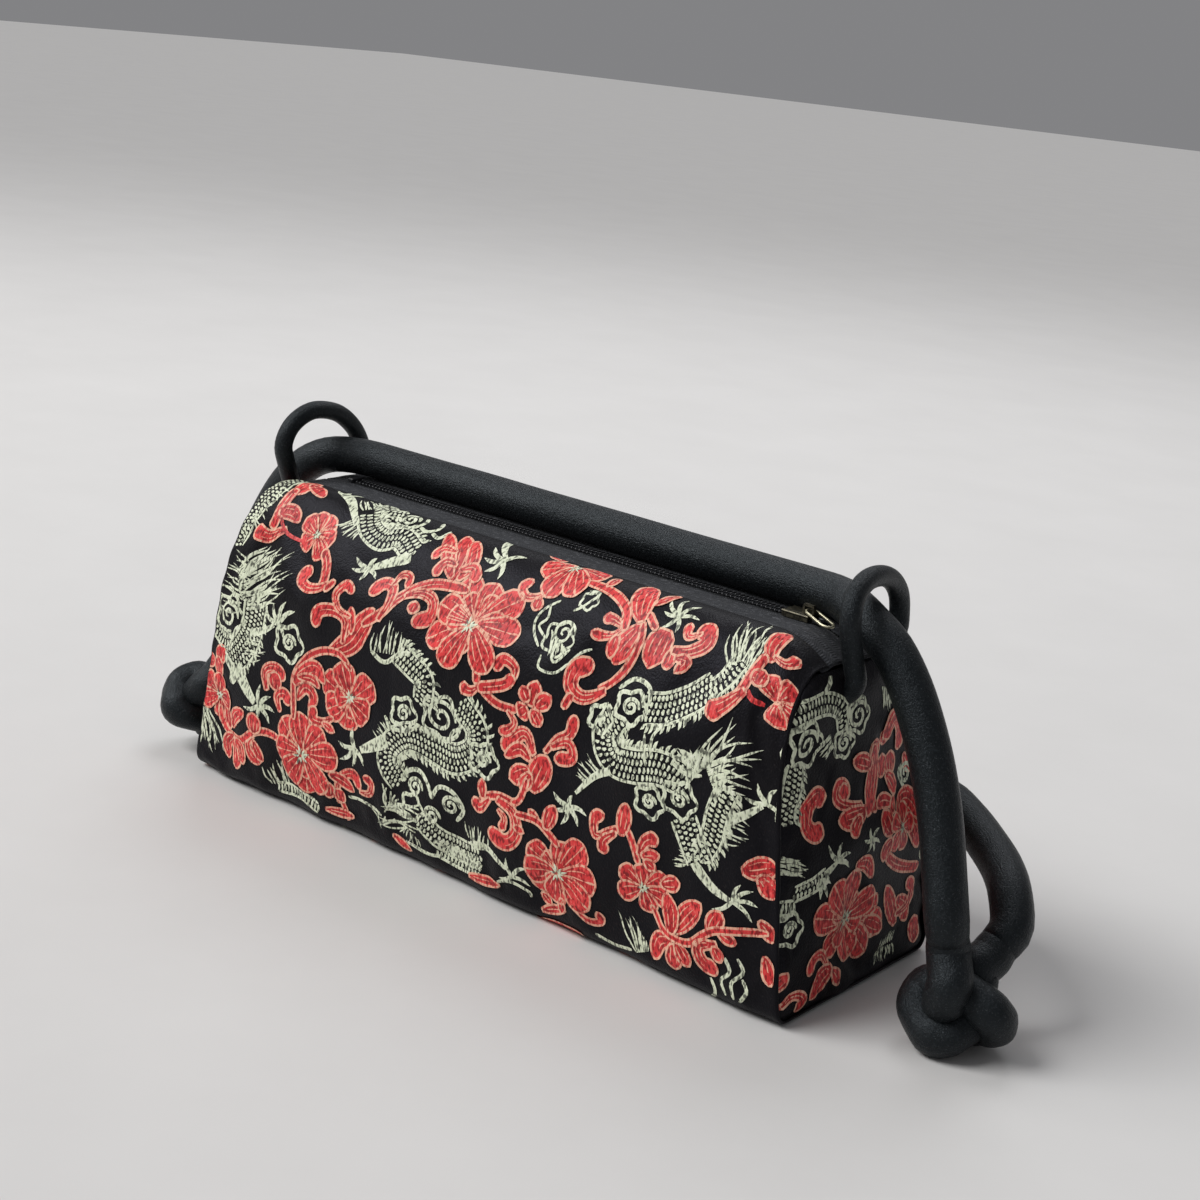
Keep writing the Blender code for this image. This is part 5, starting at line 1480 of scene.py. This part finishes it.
def stage_and_camera():
    yaw, pitch, roll = CAMERA_TURN, CAMERA_PITCH, CAMERA_ROLL
    ahead = Vector((math.cos(pitch) * math.sin(yaw), math.cos(pitch) * math.cos(yaw), -math.sin(pitch)))
    level = Vector((math.cos(yaw), -math.sin(yaw), 0.0))
    upward = level.cross(ahead)
    right = math.cos(roll) * level + math.sin(roll) * upward
    up = math.cos(roll) * upward - math.sin(roll) * level
    data = bpy.data.cameras.new("photo_view")
    data.sensor_width = SENSOR_WIDTH
    data.lens = SENSOR_WIDTH * FOCAL_SHARE
    data.clip_start = 0.01
    camera = bpy.data.objects.new("photo_view", data)
    axes = Matrix((right, up, -ahead)).transposed().to_4x4()
    camera.matrix_world = Matrix.Translation(CAMERA_PLACE) @ axes
    bpy.context.scene.collection.objects.link(camera)
    bpy.context.scene.camera = camera


def soft_lamp(name, place, target, size, power, colour):
    data = bpy.data.lights.new(name, "AREA")
    data.size = size
    data.energy = power
    data.color = colour
    lamp = bpy.data.objects.new(name, data)
    lamp.location = place
    lamp.rotation_euler = (Vector(target) - Vector(place)).to_track_quat("-Z", "Y").to_euler()
    bpy.context.scene.collection.objects.link(lamp)


def light_the_stage():
    bm = bmesh.new()
    bmesh.ops.create_grid(bm, x_segments=1, y_segments=1, size=FLOOR_SIZE)
    mesh = bpy.data.meshes.new("floor")
    bm.to_mesh(mesh)
    bm.free()
    floor = linked("floor", mesh, floor_finish())
    for lamp in LAMPS:
        soft_lamp(*lamp)
    data = bpy.data.lights.new("even_light", "SUN")
    data.energy = EVEN_LIGHT_STRENGTH
    data.angle = EVEN_LIGHT_ANGLE
    even = bpy.data.objects.new("even_light", data)
    even.rotation_euler = Vector(EVEN_LIGHT_FROM).to_track_quat("Z", "Y").to_euler()
    bpy.context.scene.collection.objects.link(even)
    world = bpy.data.worlds.new("studio")
    bpy.context.scene.world = world
    world.use_nodes = True
    backdrop = world.node_tree.nodes["Background"]
    backdrop.inputs["Color"].default_value = BACKDROP_COLOUR
    backdrop.inputs["Strength"].default_value = BACKDROP_STRENGTH
    bpy.context.scene.view_settings.view_transform = "Standard"


def make_cords():
    """The rope handle with its knots, and the loops."""
    rope = rope_finish()
    both = (KNOT_LEFT, KNOT_RIGHT)
    top_ends = [knot_exit(*knot, KNOT_TOP_EXIT, KNOT_TOP_DIRECTION) for knot in both]
    side_ends = [knot_exit(*knot, KNOT_SIDE_EXIT, KNOT_SIDE_DIRECTION) for knot in both]
    knots = [knot_piece("left_knot", "knot_left", KNOT_LEFT, rope),
             knot_piece("right_knot", "knot_right", KNOT_RIGHT, rope)]
    strand_piece("rope_over_top", "handle_strand_top",
                 top_ends[0] + HANDLE_TOP_ROUTE + top_ends[1][::-1], rope)
    strand_piece("rope_behind", "handle_strand_back",
                 side_ends[0] + HANDLE_BACK_ROUTE + side_ends[1][::-1], rope)
    loop_piece("left_loop", "loop_left", LOOP_LEFT_ROUTE, -1, rope)
    loop_piece("right_loop", "loop_right", LOOP_RIGHT_ROUTE, 1, rope)


def make_body_and_zip():
    """The brocade body with its woven pattern, and the zip."""
    brocade = brocade_finish()
    skin = Skin()
    panels = {side: panel_surface(side) for side in (-1, 1)}
    wrap_piece(skin, brocade)
    # Each thread's gap colour is painted shade between its stitches, and its glint colour is a painted
    # highlight on their crowns.
    draw_pattern(skin, panels, {
        "red": thread_finish("red_thread", deep=(0.46, 0.010, 0.014), light=(0.80, 0.050, 0.050),
                             gap=(0.20, 0.004, 0.006), glint=(0.92, 0.18, 0.15)),
        "outline": thread_finish("beige_thread", deep=(0.76, 0.30, 0.20), light=(0.86, 0.48, 0.33),
                                 gap=(0.55, 0.06, 0.05), glint=(0.92, 0.66, 0.48)),
        "pale": thread_finish("pale_green_thread", deep=(0.60, 0.65, 0.46), light=(0.78, 0.82, 0.62),
                              gap=(0.08, 0.085, 0.065), glint=(0.90, 0.92, 0.76)),
    })
    tape = tape_finish()
    coil = coil_finish()
    for side in (-1, 1):
        panel_piece(side, panels[side], brocade)
        tape_piece(side, tape)
        coil_piece(side, coil)
    pull_piece(metal_finish("pale_brass", (0.72, 0.68, 0.50), (0.50, 0.46, 0.32), 0.34))
    finish_kept_solids(coil)


def finish_kept_solids(coil):
    """The finishes of the solids that are shown as they are, or lie inside the bag."""
    padding = plain_cloth_finish("wadding", (0.55, 0.54, 0.51), (0.74, 0.73, 0.70), 0.0006)
    lining = plain_cloth_finish("dark_lining", (0.020, 0.020, 0.024), (0.045, 0.045, 0.052), 0.0004)
    kept = {"zip_slider": metal_finish("dark_brass", (0.16, 0.145, 0.105), (0.06, 0.056, 0.045), 0.42)}
    for stop in ("zip_top_stop_front", "zip_top_stop_back", "zip_bottom_stop"):
        kept[stop] = coil
    for layer, material in (("padding", padding), ("lining", lining)):
        for place in ("wrap", "end_left", "end_right"):
            kept[layer + "_" + place] = material
    for node, material in kept.items():
        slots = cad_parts[node].data.materials
        slots.clear()
        slots.append(material)


stage_and_camera()
light_the_stage()
make_cords()
make_body_and_zip()
